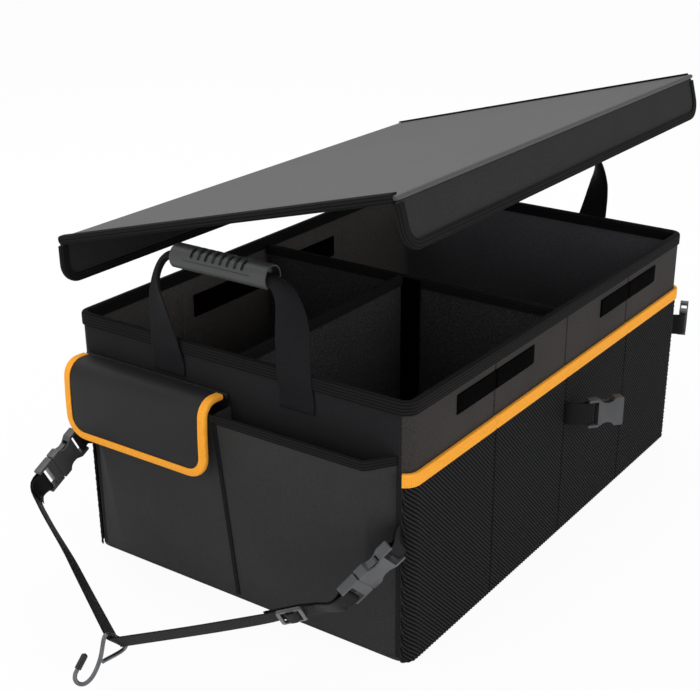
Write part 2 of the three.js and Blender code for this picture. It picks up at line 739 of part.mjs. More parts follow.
// Stations of two plies from a foot on the cloth to a seam point off it, and on round a buckle's bar.
// They leave the foot straight and bend evenly into the buckle's own direction.
function tabStations(group, foot, seam, rise) {
  const start = world(group, BAR_AT - loopR - 1.5, 0, 0);
  const reach = start.distanceTo(seam) / 3;
  const footAlong = seam.clone().sub(foot).normalize();
  const footUp = footAlong.clone().cross(rise).normalize();
  const bend = new THREE.CubicBezierCurve3(
    seam,
    seam.clone().addScaledVector(footAlong, reach),
    start.clone().addScaledVector(turnedDirection(group, 1, 0, 0), -reach),
    start,
  );
  const acrossBar = turnedDirection(group, 0, 1, 0);
  const plies = [1, -1].map((side) => [{
    at: foot.clone().addScaledVector(footUp, side * plyOffset),
    across: rise,
    width: WEB,
  }]);
  for (let i = 0; i <= TAB_STEPS; i += 1) {
    const share = i / TAB_STEPS;
    const across = rise.clone().lerp(acrossBar, Math.min(1, i / (TAB_STEPS - 1))).normalize();
    const up = bend.getTangent(share).cross(across).normalize();
    const offset = plyOffset + (loopR * 0.8 - plyOffset) * share ** 3;
    [1, -1].forEach((side, k) => plies[k].push({
      at: bend.getPoint(share).addScaledVector(up, side * offset),
      across,
      width: WEB,
    }));
  }
  const over = arc(BAR_AT, 0, loopR, 110, -110, 8).map(([x, z]) => ({
    at: world(group, x, 0, z),
    across: acrossBar,
    width: WEB,
  }));
  return [...plies[0], ...over, ...plies[1].reverse()];
}

const down = v(0, 0, -1);
const halfL = LENGTH / 2;
const halfW = WIDTH / 2;
const footOut = meshOuter + GAP;

// A point beside a rounded corner, at a distance outside the wall's face.
function besideCorner(signX, signY, z, out) {
  const r = CORNER_R + out;
  return v(signX * (halfL - CORNER_R + r * 0.96), signY * (halfW - CORNER_R + r * 0.28), z);
}

// Each tab: its foot on the mesh, the seam point where it turns, the buckle's origin, its direction and
// the direction of its width.
const corner = (signX, signY, z, out) => [
  besideCorner(signX, signY, z, footOut),
  besideCorner(signX, signY, z, out),
];
const tabs = [
  [
    "front_belt",
    [v(0, -halfW - footOut, BELT_Z), v(0, -halfW - bandOuter - 1, BELT_Z)],
    v(12, -halfW - 24, BELT_Z),
    v(0.765, -0.645, 0),
    down,
  ],
  [
    "front_left",
    corner(-1, -1, BELT_Z - 7.2, bandOuter + 1.5),
    v(-halfL - 17.6, -halfW + 2.1, BELT_Z - 13),
    v(-35.8, 27.2, -40),
    v(Math.SQRT1_2, 0, -Math.SQRT1_2),
  ],
  [
    "rear_left",
    corner(-1, 1, BELT_Z - 9.7, bandOuter + 1.5),
    v(-halfL - 16, halfW - 2, BELT_Z - 13),
    v(-0.885, 0, -0.466),
    down,
  ],
  [
    "front_right",
    corner(1, -1, BELT_Z, bandOuter + 1),
    v(halfL + 18, -halfW - 5, BELT_Z),
    v(0.94, 0.34, 0),
    down,
  ],
  [
    "rear_right",
    corner(1, 1, BELT_Z, bandOuter + 1),
    v(halfL + 18, halfW + 5, BELT_Z),
    v(0.94, -0.34, 0),
    down,
  ],
];
const buckles = {};
for (const [name, [foot, seam], origin, along, across] of tabs) {
  const group = placed(origin, along, across);
  buckles[name] = group;
  add(group, `${name}_female_buckle`, female, "plastic");
  add(root, `${name}_tab`, ribbon(tabStations(group, foot, seam, down), WEB_THICK), "webbing");
}
add(buckles.front_left, "front_left_male_buckle", male, "plastic");
add(buckles.rear_left, "rear_left_male_buckle", male, "plastic");

// Adjuster: a frame with a middle bar on the near run of the hook strap.
const ringCentre = v(-halfL - STRAP_REACH, 1, STRAP_APEX_Z);
const adjusterAt = v(-halfL - ADJUSTER_REACH, -halfW + ADJUSTER_FROM_SIDE, ADJUSTER_Z);
const strapAcross = v(Math.SQRT1_2, 0, -Math.SQRT1_2);

// The strap's middle line: from the near male bar through the adjuster to the ring, and from it to the
// far bar.
const hookDown = v(-Math.SQRT1_2, 0, -Math.SQRT1_2);
const ringOffset = WIRE_R + GAP + 0.3 + WEB_THICK / 2;

function ringPoint(degrees) {
  const angle = THREE.MathUtils.degToRad(degrees);
  return ringCentre.clone()
    .addScaledVector(hookDown, ringOffset * Math.cos(angle))
    .add(v(0, ringOffset * Math.sin(angle), 0));
}

const ringLeave = 38;
const straightOut = 13;
const nearBar = world(buckles.front_left, maleBarAt, 0, 0);
const nearOut = world(buckles.front_left, maleBarAt + straightOut, 0, 0);
const farBar = world(buckles.rear_left, maleBarAt, 0, 0);
const farOut = world(buckles.rear_left, maleBarAt + straightOut, 0, 0);
const adjusterLine = ringPoint(-ringLeave).sub(nearBar).normalize();
const nearRun = new THREE.CatmullRomCurve3([
  nearBar,
  nearOut,
  ...[-26, -14, 0, 14, 26].map((d) => adjusterAt.clone().addScaledVector(adjusterLine, d)),
  adjusterAt.clone().lerp(ringPoint(-ringLeave), 0.5).add(v(0, 0, -1.5)),
  ringPoint(-ringLeave),
], false, "centripetal");
const farRun = new THREE.CatmullRomCurve3([
  ringPoint(ringLeave),
  ringPoint(ringLeave).lerp(farOut, 0.5).add(v(0, 0, -3)),
  farOut,
  farBar,
], false, "centripetal");
const nearLength = nearRun.getLength();
const farLength = farRun.getLength();
const adjusterShare = (() => {
  let best = 0;
  for (let i = 0; i <= 400; i += 1) {
    if (nearRun.getPointAt(i / 400).distanceTo(adjusterAt)
      < nearRun.getPointAt(best).distanceTo(adjusterAt)) {
      best = i / 400;
    }
  }
  return best;
})();

// A value eased between stops, each a distance and a value.
function eased(stops, at) {
  const next = stops.findIndex(([d]) => d >= at);
  if (next === 0) {
    return stops[0][1];
  }
  if (next < 0) {
    return stops[stops.length - 1][1];
  }
  const [d0, v0] = stops[next - 1];
  const [d1, v1] = stops[next];
  return v0 + ((v1 - v0) * (at - d0)) / (d1 - d0);
}

const nearAcross = turnedDirection(buckles.front_left, 0, 1, 0);
const farAcross = turnedDirection(buckles.rear_left, 0, 1, 0);

// One ply station on a run: offset across the ply's face, and the run's width direction there.
function plyStation(run, share, from, to, offset) {
  const along = run.getTangentAt(share);
  const across = from.clone().lerp(to, share);
  across.addScaledVector(along, -across.dot(along)).normalize();
  const up = along.clone().cross(across);
  return { at: run.getPointAt(share).addScaledVector(up, offset), across, width: WEB };
}

// Offsets near the adjuster, by the distance from its middle bar.
const overBar = ADJUSTER_LIFT + ADJUSTER_HALF_THICK + GAP + 0.3 + WEB_THICK / 2;
const underEnd = ADJUSTER_LIFT - ADJUSTER_HALF_THICK - GAP - 0.2 - WEB_THICK / 2;
const tailPly = underEnd - WEB_THICK - 0.5;
const loopPly = loopR * 0.8;
const adjusterD = adjusterShare * nearLength;
const mainStops = [
  [4, loopPly],
  [12, plyOffset],
  [adjusterD - 17, plyOffset],
  [adjusterD - 12.5, underEnd],
  [adjusterD - 8, underEnd],
  [adjusterD - 2.6, overBar],
  [adjusterD + 2.6, overBar],
  [adjusterD + 8, underEnd],
  [adjusterD + 12.5, underEnd],
  [adjusterD + 20, 0],
];
const tailStops = [
  [4, -loopPly],
  [12, -plyOffset],
  [adjusterD - 17, -plyOffset],
  [adjusterD - 12.5, tailPly],
  [adjusterD + 24, tailPly],
];

function nearPly(stops, distances) {
  return distances.map((d) => (
    plyStation(nearRun, d / nearLength, nearAcross, strapAcross, eased(stops, d))
  ));
}

const farDistances = [
  2, 20, 50, 90, 130, 170, farLength - 40, farLength - 32, farLength - 24, farLength - 18, farLength - 13,
  farLength - 8, farLength - 4,
];
const mainDistances = [
  4, 8, 12, adjusterD - 22, adjusterD - 17, adjusterD - 12.5, adjusterD - 8, adjusterD - 2.6, adjusterD,
  adjusterD + 2.6, adjusterD + 8, adjusterD + 12.5, adjusterD + 20, adjusterD + 40, adjusterD + 75,
  adjusterD + 110, nearLength - 8, nearLength - 2,
];
const tailDistances = [4, 8, 12, adjusterD - 22, adjusterD - 17, adjusterD - 12.5, adjusterD, adjusterD + 24];

function barLoop(group, from, to) {
  return arc(0, 0, loopR, from, to, 8).map(([x, z]) => ({
    at: world(group, maleBarAt + x, 0, z),
    across: turnedDirection(group, 0, 1, 0),
    width: WEB,
  }));
}

const ringArc = [-30, -15, 0, 15, 30].map((degrees) => ({
  at: ringPoint(degrees),
  across: strapAcross,
  width: WEB,
}));
const farStops = [
  [farLength - 40, 0],
  [farLength - 24, plyOffset],
  [farLength - 12, plyOffset],
  [farLength - 4, loopPly],
];
const farPly = farDistances.map((d) => (
  plyStation(farRun, d / farLength, strapAcross, farAcross, eased(farStops, d))
));
const farTail = [4, 8, 13, 18, 24].map((back) => {
  const d = farLength - back;
  return plyStation(farRun, d / farLength, strapAcross, farAcross, -eased(farStops, d));
});
const strap = ribbon([
  ...nearPly(tailStops, tailDistances).reverse(),
  ...barLoop(buckles.front_left, -80, -280),
  ...nearPly(mainStops, mainDistances),
  ...ringArc,
  ...farPly,
  ...barLoop(buckles.rear_left, -80, -280),
  ...farTail,
], WEB_THICK);
add(root, "hook_strap", strap, "webbing");

const adjusterAlong = nearRun.getTangentAt(adjusterShare);
const adjusterAcross = nearAcross.clone().lerp(strapAcross, adjusterShare);
const adjusterGroup = placed(nearRun.getPointAt(adjusterShare), adjusterAlong, adjusterAcross);
const adjusterPlan = roundedRect(ADJUSTER_HALF_LENGTH, buckleHalf + 0.5, 3);
const slotEnd = ADJUSTER_HALF_LENGTH - 3.4;
const adjusterSlot = box(1.5, slotEnd, -railInner, railInner, -WEB, WEB);
const adjuster = prism(
  adjusterPlan,
  ADJUSTER_LIFT - ADJUSTER_HALF_THICK,
  ADJUSTER_LIFT + ADJUSTER_HALF_THICK,
)
  .subtract(adjusterSlot)
  .subtract(adjusterSlot.mirror([1, 0, 0]));
add(adjusterGroup, "strap_adjuster", adjuster, "plastic");

// Wire hook: a triangular ring whose bar carries the strap, then a shank and a hook turned aside.
const hookGroup = placed(ringCentre, strapAcross, v(0, 1, 0));

// Its points: along the bar, down the shank, towards the far side.
const hookPath = [
  [-RING_HALF + 13, 23, 0],
  [RING_HALF - 1, 6, 0],
  [RING_HALF, 2, 0],
  [RING_HALF - 2, 0, 0],
  [-RING_HALF + 2, 0, 0],
  [-RING_HALF, 2, 0],
  [-RING_HALF + 8, 21, 0],
  [-RING_HALF + 10.6, 34, 0.6],
  [-RING_HALF + 10.4, 42, 2],
  [-RING_HALF + 9, 47.2, 5],
  [-RING_HALF + 6.2, 48.6, 8.6],
  [-RING_HALF + 3.4, 46.5, 11.6],
  [-RING_HALF + 2, 42, 13],
  [-RING_HALF + 2, 38.5, 13],
  [-RING_HALF + 2, 25.5, 12.6],
];

const hookPoint = ([p, q, s]) => v(p, s, -q);

function tube(points, radius, steps) {
  const curve = new THREE.CatmullRomCurve3(points, false, "centripetal");
  const section = new THREE.Shape(arc(0, 0, radius, 0, 315, 7).map(([a, b]) => new THREE.Vector2(a, b)));
  return solid(new THREE.ExtrudeGeometry(section, { steps, extrudePath: curve, bevelEnabled: false }));
}

add(hookGroup, "wire_hook", tube(hookPath.map(hookPoint), WIRE_R, 64), "wire");

// A dipped sleeve over the hook's tip.
const [tipP, tipQ, tipS] = hookPath[hookPath.length - 1];
const sleevePath = (from, to) => [from, to].map((q) => hookPoint([tipP, tipQ + q, tipS + q * 0.03]));
const sleeveTip = -3;
const sleeveBore = WIRE_R + GAP + 0.1;
const sleeve = tube(sleevePath(sleeveTip + SLEEVE_LENGTH, sleeveTip), sleeveBore + SLEEVE_THICK, 3)
  .subtract(tube(sleevePath(SLEEVE_LENGTH + 1, -GAP), sleeveBore, 3));
add(hookGroup, "hook_sleeve", sleeve, "sleeve");

// Lid: a stiff panel lifted off the rim and tilted about its rear fold, with a skirt on each long side.
const liftGroup = new THREE.Group();
const foldY = WIDTH / 2 + LID_OVER_REAR - LID_THICK / 2;
liftGroup.position.set(0, foldY, HEIGHT + LID_FOLD_RISE);
root.add(liftGroup);
const lidGroup = new THREE.Group();
lidGroup.rotation.x = THREE.MathUtils.degToRad(LID_TILT);
liftGroup.add(lidGroup);

const lidHalf = LENGTH / 2 + LID_OVER_END;
const lidEnd = lidHalf - TAPE - GAP;
const lidWidth = WIDTH + LID_OVER_REAR + LID_OVER_FRONT;
const lidFront = -(lidWidth - LID_THICK / 2);
const lidSection = [
  [lidFront, -LID_THICK / 2],
  ...arc(0, 0, LID_THICK / 2, -90, 90, 6),
  [lidFront + 2, LID_THICK / 2],
  [lidFront, LID_THICK / 2 - 2],
];
add(lidGroup, "lid_panel", prism(lidSection, -lidEnd, lidEnd, "yz"), "lid_fabric");
const lidUnder = -LID_THICK / 2;
const lidEndTape = box(
  lidHalf - SKIRT_TAPE,
  lidHalf,
  lidFront,
  0,
  lidUnder - tapeOut,
  -lidUnder + tapeOut,
);
const panelRoom = box(0, lidEnd + GAP, -LENGTH, 1, lidUnder - GAP, -lidUnder + GAP);
const skirtRoom = box(0, LENGTH, lidFront - 1, lidFront + 2 * tapeOut + SKIRT_THICK, -SKIRT, lidUnder);
const rightTape = lidEndTape.subtract(panelRoom).subtract(skirtRoom);
add(lidGroup, "lid_right_tape", rightTape, "tape");
add(lidGroup, "lid_left_tape", rightTape.mirror([1, 0, 0]), "tape");

// A skirt panel in the XZ plane, its upper edge at z = top, between y0 and y0 + SKIRT_THICK.
const skirtIn = tapeOut;
function skirtPanel(y0, top, bottom) {
  return prism(
    hanging(-lidHalf + skirtIn, lidHalf - skirtIn, bottom + skirtIn, top, SKIRT_R - skirtIn),
    y0,
    y0 + SKIRT_THICK,
    "xz",
  );
}

function skirtTape(y0, top, bottom) {
  const outline = hanging(-lidHalf, lidHalf, bottom, top, SKIRT_R);
  const inset = (depth) => hanging(-lidHalf, lidHalf, bottom, top + 1, SKIRT_R, -depth);
  return prism(outline, y0 - tapeOut, y0 + SKIRT_THICK + tapeOut, "xz")
    .subtract(prism(inset(SKIRT_TAPE), y0 - SKIRT, y0 + SKIRT, "xz"))
    .subtract(prism(inset(TAPE), y0 - GAP, y0 + SKIRT_THICK + GAP, "xz"));
}

const skirtTop = lidUnder - GAP;
const endTapeLow = skirtTop - TAPE - GAP;
add(lidGroup, "front_skirt", skirtPanel(lidFront + tapeOut, skirtTop, -SKIRT), "lid_fabric");
add(lidGroup, "front_skirt_tape", skirtTape(lidFront + tapeOut, endTapeLow, -SKIRT), "tape");
const skirtStrip = box(
  0,
  STRIP_LENGTH,
  lidFront + tapeOut + SKIRT_THICK + GAP,
  lidFront + tapeOut + SKIRT_THICK + GAP + STRIP_THICK,
  -SKIRT + SKIRT_TAPE + 2,
  -SKIRT + SKIRT_TAPE + 2 + STRIP_HEIGHT,
);
stripStarts.forEach((start, i) => {
  add(lidGroup, `front_skirt_${["left", "right"][i]}_strip`, skirtStrip.translate([start, 0, 0]), "loop");
});
const rearSkirtY = LID_THICK / 2 - SKIRT_THICK - tapeOut;
const rearTop = lidUnder - 2;
add(liftGroup, "rear_skirt", skirtPanel(rearSkirtY, rearTop, -SKIRT), "lid_fabric");
add(liftGroup, "rear_skirt_tape", skirtTape(rearSkirtY, rearTop - 2, -SKIRT), "tape");

export default root;
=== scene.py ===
"""The looks of a car trunk organizer: cloth walls with a ribbed mesh layer and a bright band, bindings,
dividers, end pockets, webbing handles with moulded grips, buckles, a hook strap and a lifted lid.

Lengths are millimetres until a mesh is made. Pieces are surfaces worked out as whole arrays. Most are
slabs: a top grid and an under grid of points, closed along their borders. Each has a UV map in
millimetres, so that a weave follows its cloth. The buckles are the CAD's own, with rounded edges.
"""
import math

import bmesh
import bpy
import numpy as np
from mathutils import Matrix, Vector


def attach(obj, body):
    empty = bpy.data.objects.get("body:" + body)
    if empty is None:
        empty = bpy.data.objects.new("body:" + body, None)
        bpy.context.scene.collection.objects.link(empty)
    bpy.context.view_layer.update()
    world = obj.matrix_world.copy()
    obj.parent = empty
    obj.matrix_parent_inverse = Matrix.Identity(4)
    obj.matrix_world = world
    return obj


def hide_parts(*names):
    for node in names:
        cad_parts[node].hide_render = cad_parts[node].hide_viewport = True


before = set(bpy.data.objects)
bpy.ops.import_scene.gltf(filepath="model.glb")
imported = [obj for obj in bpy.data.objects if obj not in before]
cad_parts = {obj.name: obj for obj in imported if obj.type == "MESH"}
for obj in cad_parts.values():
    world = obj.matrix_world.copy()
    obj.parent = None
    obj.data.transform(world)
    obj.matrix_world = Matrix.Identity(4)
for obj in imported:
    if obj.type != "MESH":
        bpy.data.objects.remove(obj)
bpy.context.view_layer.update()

MM = 0.001

# The box
LENGTH = 600
WIDTH = 400
WALL = 4
CORNER_R = 12
GAP = 0.3
WALL_BOTTOM = 4.3
WALL_TOP = 268.2
CREASES = (-150, 0, 150)
CREASE_HALF = 1.7
CREASE_STOPS = (-1.7, -1.2, -0.8, -0.4, 0, 0.4, 0.8, 1.2, 1.7)
# Half width of the painted shade along each crease of the mesh layer
CREASE_DARK = 1.0
QUARTER = math.pi / 2 * CORNER_R
STRAIGHT = LENGTH - 2 * CORNER_R
SIDE_RUN = STRAIGHT + 2 * QUARTER
SIDE_MIDDLE = SIDE_RUN / 2
SIDE_STEP = 9.0
SEAM_RUN = 3.6
LAYER_RUN = 4.8
CREASE_DEPTH = 2.2
END_SEAM_Y = 188

# Tapes
TAPE = 1.5
TAPE_ROOM = 1.8
RIM_TAPE_HEIGHT = 13
# Half of what a rim's or a divider's tape is folded round
BOUND_HALF = 2.3

# Mesh layer and its bright band
MESH_INNER = 1.6
MESH_OUTER = 2.5
RIB_HEIGHT = 0.9
RIB_RUN = 4.6
MESH_BOTTOM = 1
MESH_TOP = 196
BAND_BOTTOM = 188
BAND_TOP = 201
BAND_OUT = 4.5

# Hook-and-loop strips
STRIP = 1.2
STRIP_BOTTOM = 229
STRIP_TOP = 249
PILE_HALF = 0.6
INNER_STRIP_Y = 195.1
INNER_STRIP_HALF = 0.7
STRIP_RUNS = {"left": (-221, -70), "right": (80, 231)}

# Dividers
DIVIDER_PANEL_TOP = 260.2
DIVIDER_TAPE = 11
DIVIDER_HALF = 2.0
DIVIDER_SWAY = 0.5
TAB_Y = (-22, 6, 4)

# Webbing
WEB = 25
WEB_HALF = 0.7

# The gloss of cloth and of plastic: the shader's specular level
CLOTH_GLOSS = 0.12
PLASTIC_GLOSS = 0.5


def linear(code):
    """The linear colour of an sRGB hex value."""
    value = np.array([int(code[i:i + 2], 16) for i in (0, 2, 4)]) / 255
    value = np.where(value <= 0.04045, value / 12.92, ((value + 0.055) / 1.055) ** 2.4)
    return (*value, 1.0)


# Materials

def put(tree, kind, inputs=None, **settings):
    """Adds a node, sets its properties and fills its inputs: a socket is linked, another value is set."""
    new = tree.nodes.new(kind)
    for key, value in settings.items():
        setattr(new, key, value)
    for key, value in (inputs or {}).items():
        if isinstance(value, bpy.types.NodeSocket):
            tree.links.new(value, new.inputs[key])
        else:
            new.inputs[key].default_value = value
    return new


def maths(tree, operation, *values):
    """The result of a math node."""
    return put(tree, "ShaderNodeMath", dict(enumerate(values)), operation=operation).outputs[0]


def ranged(tree, value, low, high, to_low=0.0, to_high=1.0):
    """A value carried from one range to another and held within it."""
    return put(tree, "ShaderNodeMapRange", {
        "Value": value,
        "From Min": low,
        "From Max": high,
        "To Min": to_low,
        "To Max": to_high,
    }).outputs["Result"]


def attribute(tree, name):
    """A number that each point of a piece carries."""
    return put(tree, "ShaderNodeAttribute", attribute_name=name).outputs["Fac"]


def scaled(tree, colour, factor):
    """A colour times a factor."""
    return put(tree, "ShaderNodeVectorMath", {0: colour, 3: factor}, operation="SCALE").outputs["Vector"]


def shaded(material, colour, height, depth, roughness, gloss, metallic=0.0):
    """Ends a material: a Principled shader of the colour, and a bump of the height. Depth is in mm."""
    tree = material.node_tree
    bump = put(tree, "ShaderNodeBump", {"Height": height, "Distance": depth * MM, "Strength": 1.0})
    shader = put(tree, "ShaderNodeBsdfPrincipled", {
        "Base Color": colour,
        "Normal": bump.outputs["Normal"],
        "Roughness": roughness,
        "Specular IOR Level": gloss,
        "Metallic": metallic,
    })
    put(tree, "ShaderNodeOutputMaterial", {"Surface": shader.outputs["BSDF"]})
    return material


def fresh(name):
    """A new material without nodes."""
    material = bpy.data.materials.new(name)
    material.use_nodes = True
    material.node_tree.nodes.clear()
    return material


def blotches(tree, scale, low, high, detail=2.0):
    """Soft noise on the object's own coordinates, between two values. The scale is per metre."""
    noise = put(tree, "ShaderNodeTexNoise", {
        "Vector": put(tree, "ShaderNodeTexCoord").outputs["Object"],
        "Scale": scale,
        "Detail": detail,
        "Roughness": 0.6,
    })
    return ranged(tree, noise.outputs["Fac"], 0.3, 0.7, low, high)


def wave(tree, distance, pitch):
    """The sine of a distance in millimetres that rises and falls once in two pitches."""
    return maths(tree, "SINE", maths(tree, "MULTIPLY", distance, math.pi / pitch))


def ridges(tree, distance, pitch):
    """The absolute value of such a sine: one ridge in each pitch."""
    return maths(tree, "ABSOLUTE", wave(tree, distance, pitch))


def along_and_across(tree):
    """The two millimetre coordinates of a piece's own UV map."""
    flat = put(tree, "ShaderNodeUVMap", uv_map="mm")
    split = put(tree, "ShaderNodeSeparateXYZ", {"Vector": flat.outputs["UV"]})
    return split.outputs["X"], split.outputs["Y"]


def toned(tree, dark, light, share, fleck):
    """A colour between a dark and a light thread by the share, flecked by a factor around one."""
    mixed = put(tree, "ShaderNodeMix", {0: share, 6: linear(dark), 7: linear(light)}, data_type="RGBA")
    return scaled(tree, mixed.outputs[2], fleck)


def woven(name, dark, light, pitch, depth, roughness, speckle=0.25, fibre=900, lining=0, gloss=CLOTH_GLOSS):
    """A plain weave: the product of two sines, whose peaks and hollows are the threads that cross.

    The pitch of the threads is in millimetres. Fibre noise flecks the colour and roughens the height.
    Where the piece's attribute "inner" is one, the colour is 1 + lining times as bright: painted light on the
    inner faces, which lie in the box's shade.
    """
    material = fresh(name)
    tree = material.node_tree
    along, across = along_and_across(tree)
    cross = maths(tree, "MULTIPLY", wave(tree, along, pitch), wave(tree, across, pitch))
    height = maths(tree, "MULTIPLY_ADD", cross, 0.45, blotches(tree, fibre, 0.0, 1.0, 3.0))
    share = ranged(tree, height, -0.4, 1.4)
    fine = blotches(tree, fibre * 0.6, 1 - speckle, 1 + speckle, 3.0)
    fleck = maths(tree, "MULTIPLY", fine, blotches(tree, 9, 0.92, 1.08))
    if lining:
        # Painted light: the inner faces are drawn brighter than the outer ones
        raised = maths(tree, "MULTIPLY_ADD", attribute(tree, "inner"), lining, 1.0)
        fleck = maths(tree, "MULTIPLY", fleck, raised)
    return shaded(material, toned(tree, dark, light, share, fleck), height, depth, roughness, gloss)


def ribbed(name, dark, light, rib, pick, depth, roughness, edge=0.35):
    """A ribbed narrow cloth: ridges across the map's first direction, crossed by finer picks."""
    material = fresh(name)
    tree = material.node_tree
    along, across = along_and_across(tree)
    height = maths(tree, "MULTIPLY_ADD", ridges(tree, across, pick), edge, ridges(tree, along, rib))
    colour = toned(tree, dark, light, ranged(tree, height, 0.1, 1.3), blotches(tree, 500, 0.9, 1.1))
    return shaded(material, colour, height, depth, roughness, CLOTH_GLOSS)


def air_mesh(name, dark, light):
    """A knitted mesh: the ribs are modelled. Dots along each rib come from the other diagonal's sine.

    The rib's own height, an attribute, sets a painted highlight on the ribs' tops and painted shade in the
    hollows between them. Where a crease crosses the cloth, within CREASE_DARK of the crease's distance along
    the side, it is painted black: painted shade of the fold.
    """
    material = fresh(name)
    tree = material.node_tree
    along, across = along_and_across(tree)
    dots = ridges(tree, maths(tree, "SUBTRACT", along, across), RIB_RUN / 2)
    # Painted highlight on the ribs' tops, painted shade in the hollows
    steep = maths(tree, "POWER", attribute(tree, "crest"), 1.5)
    share = maths(tree, "MULTIPLY", steep, maths(tree, "MULTIPLY_ADD", dots, 0.6, 0.4))
    # Painted shade along each crease
    for crease in CREASES:
        away = maths(tree, "ABSOLUTE", maths(tree, "SUBTRACT", along, SIDE_MIDDLE + crease))
        share = maths(tree, "MULTIPLY", share, ranged(tree, away, CREASE_DARK, CREASE_DARK + 0.6))
    colour = toned(tree, dark, light, share, blotches(tree, 700, 0.85, 1.15))
    return shaded(material, colour, dots, 0.35, 0.8, 0.06)


def moulded(name, colour, roughness, grain, depth, sunk=False):
    """A moulded plastic with a fine spark-eroded grain, whose size is in millimetres.

    With the flag set, the piece's attribute darkens the colour: painted shade in the slots, along the parting
    groove and inside the grip.
    """
    material = fresh(name)
    tree = material.node_tree
    tone_and_shade = blotches(tree, 60, 0.92, 1.1)
    if sunk:
        # Painted shade from the piece's attribute
        left = maths(tree, "MULTIPLY_ADD", attribute(tree, "sunk"), -0.95, 1.0)
        tone_and_shade = maths(tree, "MULTIPLY", tone_and_shade, left)
    tint = scaled(tree, linear(colour)[:3], tone_and_shade)
    return shaded(material, tint, blotches(tree, 1000 / grain, 0.0, 1.0), depth, roughness, PLASTIC_GLOSS)


def plated_wire(name, colour):
    """Drawn and plated steel: a metal of slightly uneven tone."""
    material = fresh(name)
    tone = blotches(material.node_tree, 200, 0.8, 1.1)
    tint = scaled(material.node_tree, linear(colour)[:3], tone)
    return shaded(material, tint, tone, 0.02, 0.34, 0.5, metallic=0.9)


# Each finish is a material and the name of a slot.
# Polyester Oxford cloth, plain woven and laminated to a board: a dull, finely flecked dark grey. Its
# 0.5 mm threads would not show, so they are drawn 0.9 to 1.1 mm wide.
# The long walls' inner faces carry painted light.
WALL_CLOTH = (
    woven("woven_polyester_wall_cloth", "2a2827", "474442", 1.1, 0.14, 0.85, lining=1.0), "fabric")
POCKET_CLOTH = (woven("woven_polyester_pocket_cloth", "2b2b2b", "3d3d3d", 0.9, 0.08, 0.8, 0.1), "end_fabric")
# The end walls are drawn darker than the pocket, which is the same cloth: painted shade. Their inner faces
# carry strong painted light.
END_CLOTH = (
    woven("woven_polyester_end_cloth", "18181a", "29292b", 0.9, 0.1, 0.85, 0.15, lining=6.0), "end_fabric")
# The lid is drawn lighter than its skirts, which are the same cloth: painted light on its top.
LID_CLOTH = (
    woven("woven_polyester_lid_cloth", "2e2e2e", "454545", 1.0, 0.12, 0.6, 0.16, gloss=0.75), "lid_fabric")
SKIRT_CLOTH = (woven("woven_polyester_skirt_cloth", "242424", "373737", 1.0, 0.12, 0.8, 0.14), "lid_fabric")
# Coated smooth cloth over foam: an even dark surface with a soft sheen on its bend.
FLAP_CLOTH = (
    woven("coated_smooth_flap_cloth", "1d1d1f", "242426", 0.8, 0.03, 0.55, 0.06, gloss=0.22), "end_fabric")
# Needled polyester lining: short fibres with a speckled, lightless look.
LINING = (woven("needled_polyester_lining", "232323", "444444", 1.3, 0.2, 0.95, 0.4, 700), "lining")
# Polyester binding: ridges along its length, drawn 3 mm apart so that they show, crossed by fine picks.
BINDING = (ribbed("woven_binding_tape", "050506", "1f1f20", 3.0, 1.3, 0.3, 0.9, 0.25), "tape")
# Orange polypropylene binding: bright and finely ribbed.
ORANGE = (ribbed("orange_woven_band", "ffa226", "ffb444", 1.4, 4.0, 0.04, 0.7, 0.1), "orange")
# Polypropylene webbing: flat, black and ribbed across.
WEBBING = (ribbed("black_polypropylene_webbing", "0a0a0b", "1d1d20", 1.5, 2.6, 0.25, 0.65), "webbing")
# Hook-and-loop tape: a matt black pile that returns hardly any light.
PILE = (woven("black_loop_pile", "010101", "060607", 0.7, 0.3, 1.0, 0.5, 1500, gloss=0.03), "loop")
# Knitted polyester mesh: black, with diagonal ribs whose tops carry a painted highlight and whose hollows
# carry painted shade.
MESH_CLOTH = (air_mesh("knitted_air_mesh", "010101", "38383a"), "mesh")
# Moulded acetal and nylon: mid grey with a fine grain and lit edges.
BUCKLE_PLASTIC = (moulded("moulded_acetal_buckle", "444547", 0.36, 0.5, 0.03), "plastic")
# The grip's slots, parting groove and inner face carry painted shade.
GRIP_PLASTIC = (moulded("moulded_nylon_grip", "343536", 0.42, 0.6, 0.04, sunk=True), "plastic")
# Dark plated steel wire, and the dipped vinyl on its tip.
WIRE = (plated_wire("dark_plated_steel_wire", "6c6d70"), "wire")
DIP = (moulded("dipped_vinyl_tip", "0c0c0d", 0.35, 1.2, 0.03), "sleeve")


# Meshes

def spread(*coordinates):
    """Points of coordinates that are broadcast together."""
    return np.stack(np.broadcast_arrays(*coordinates), -1)


def quads(index):
    """The four-sided faces of a grid of point numbers."""
    return np.stack([index[:-1, :-1], index[1:, :-1], index[1:, 1:], index[:-1, 1:]], -1).reshape(-1, 4)


def slab(top, under, uv, loop=False):
    """A closed solid between two grids of points of one shape (rows, columns, 3).

    Faces run over the top grid, back over the under grid, and down the borders between them. With
    loop=True the last row is followed by the first, and only the two long borders are closed.
    """
    rows, columns = top.shape[:2]
    index = np.arange(rows * columns).reshape(rows, columns)
    ring = np.vstack([index, index[:1]]) if loop else index
    face = quads(ring)
    low = index.size
    borders = [ring[::-1, 0], ring[:, -1]]
    if not loop:
        borders += [index[0], index[-1, ::-1]]
    sides = [np.stack([b[:-1], b[1:], b[1:] + low, b[:-1] + low], -1) for b in borders]
    verts = np.concatenate([top.reshape(-1, 3), under.reshape(-1, 3)])
    faces = np.concatenate([face, face[:, ::-1] + low, *sides])
    flat = np.broadcast_to(uv, (*top.shape[:2], 2)).reshape(-1, 2)
    return verts, faces, np.concatenate([flat, flat])


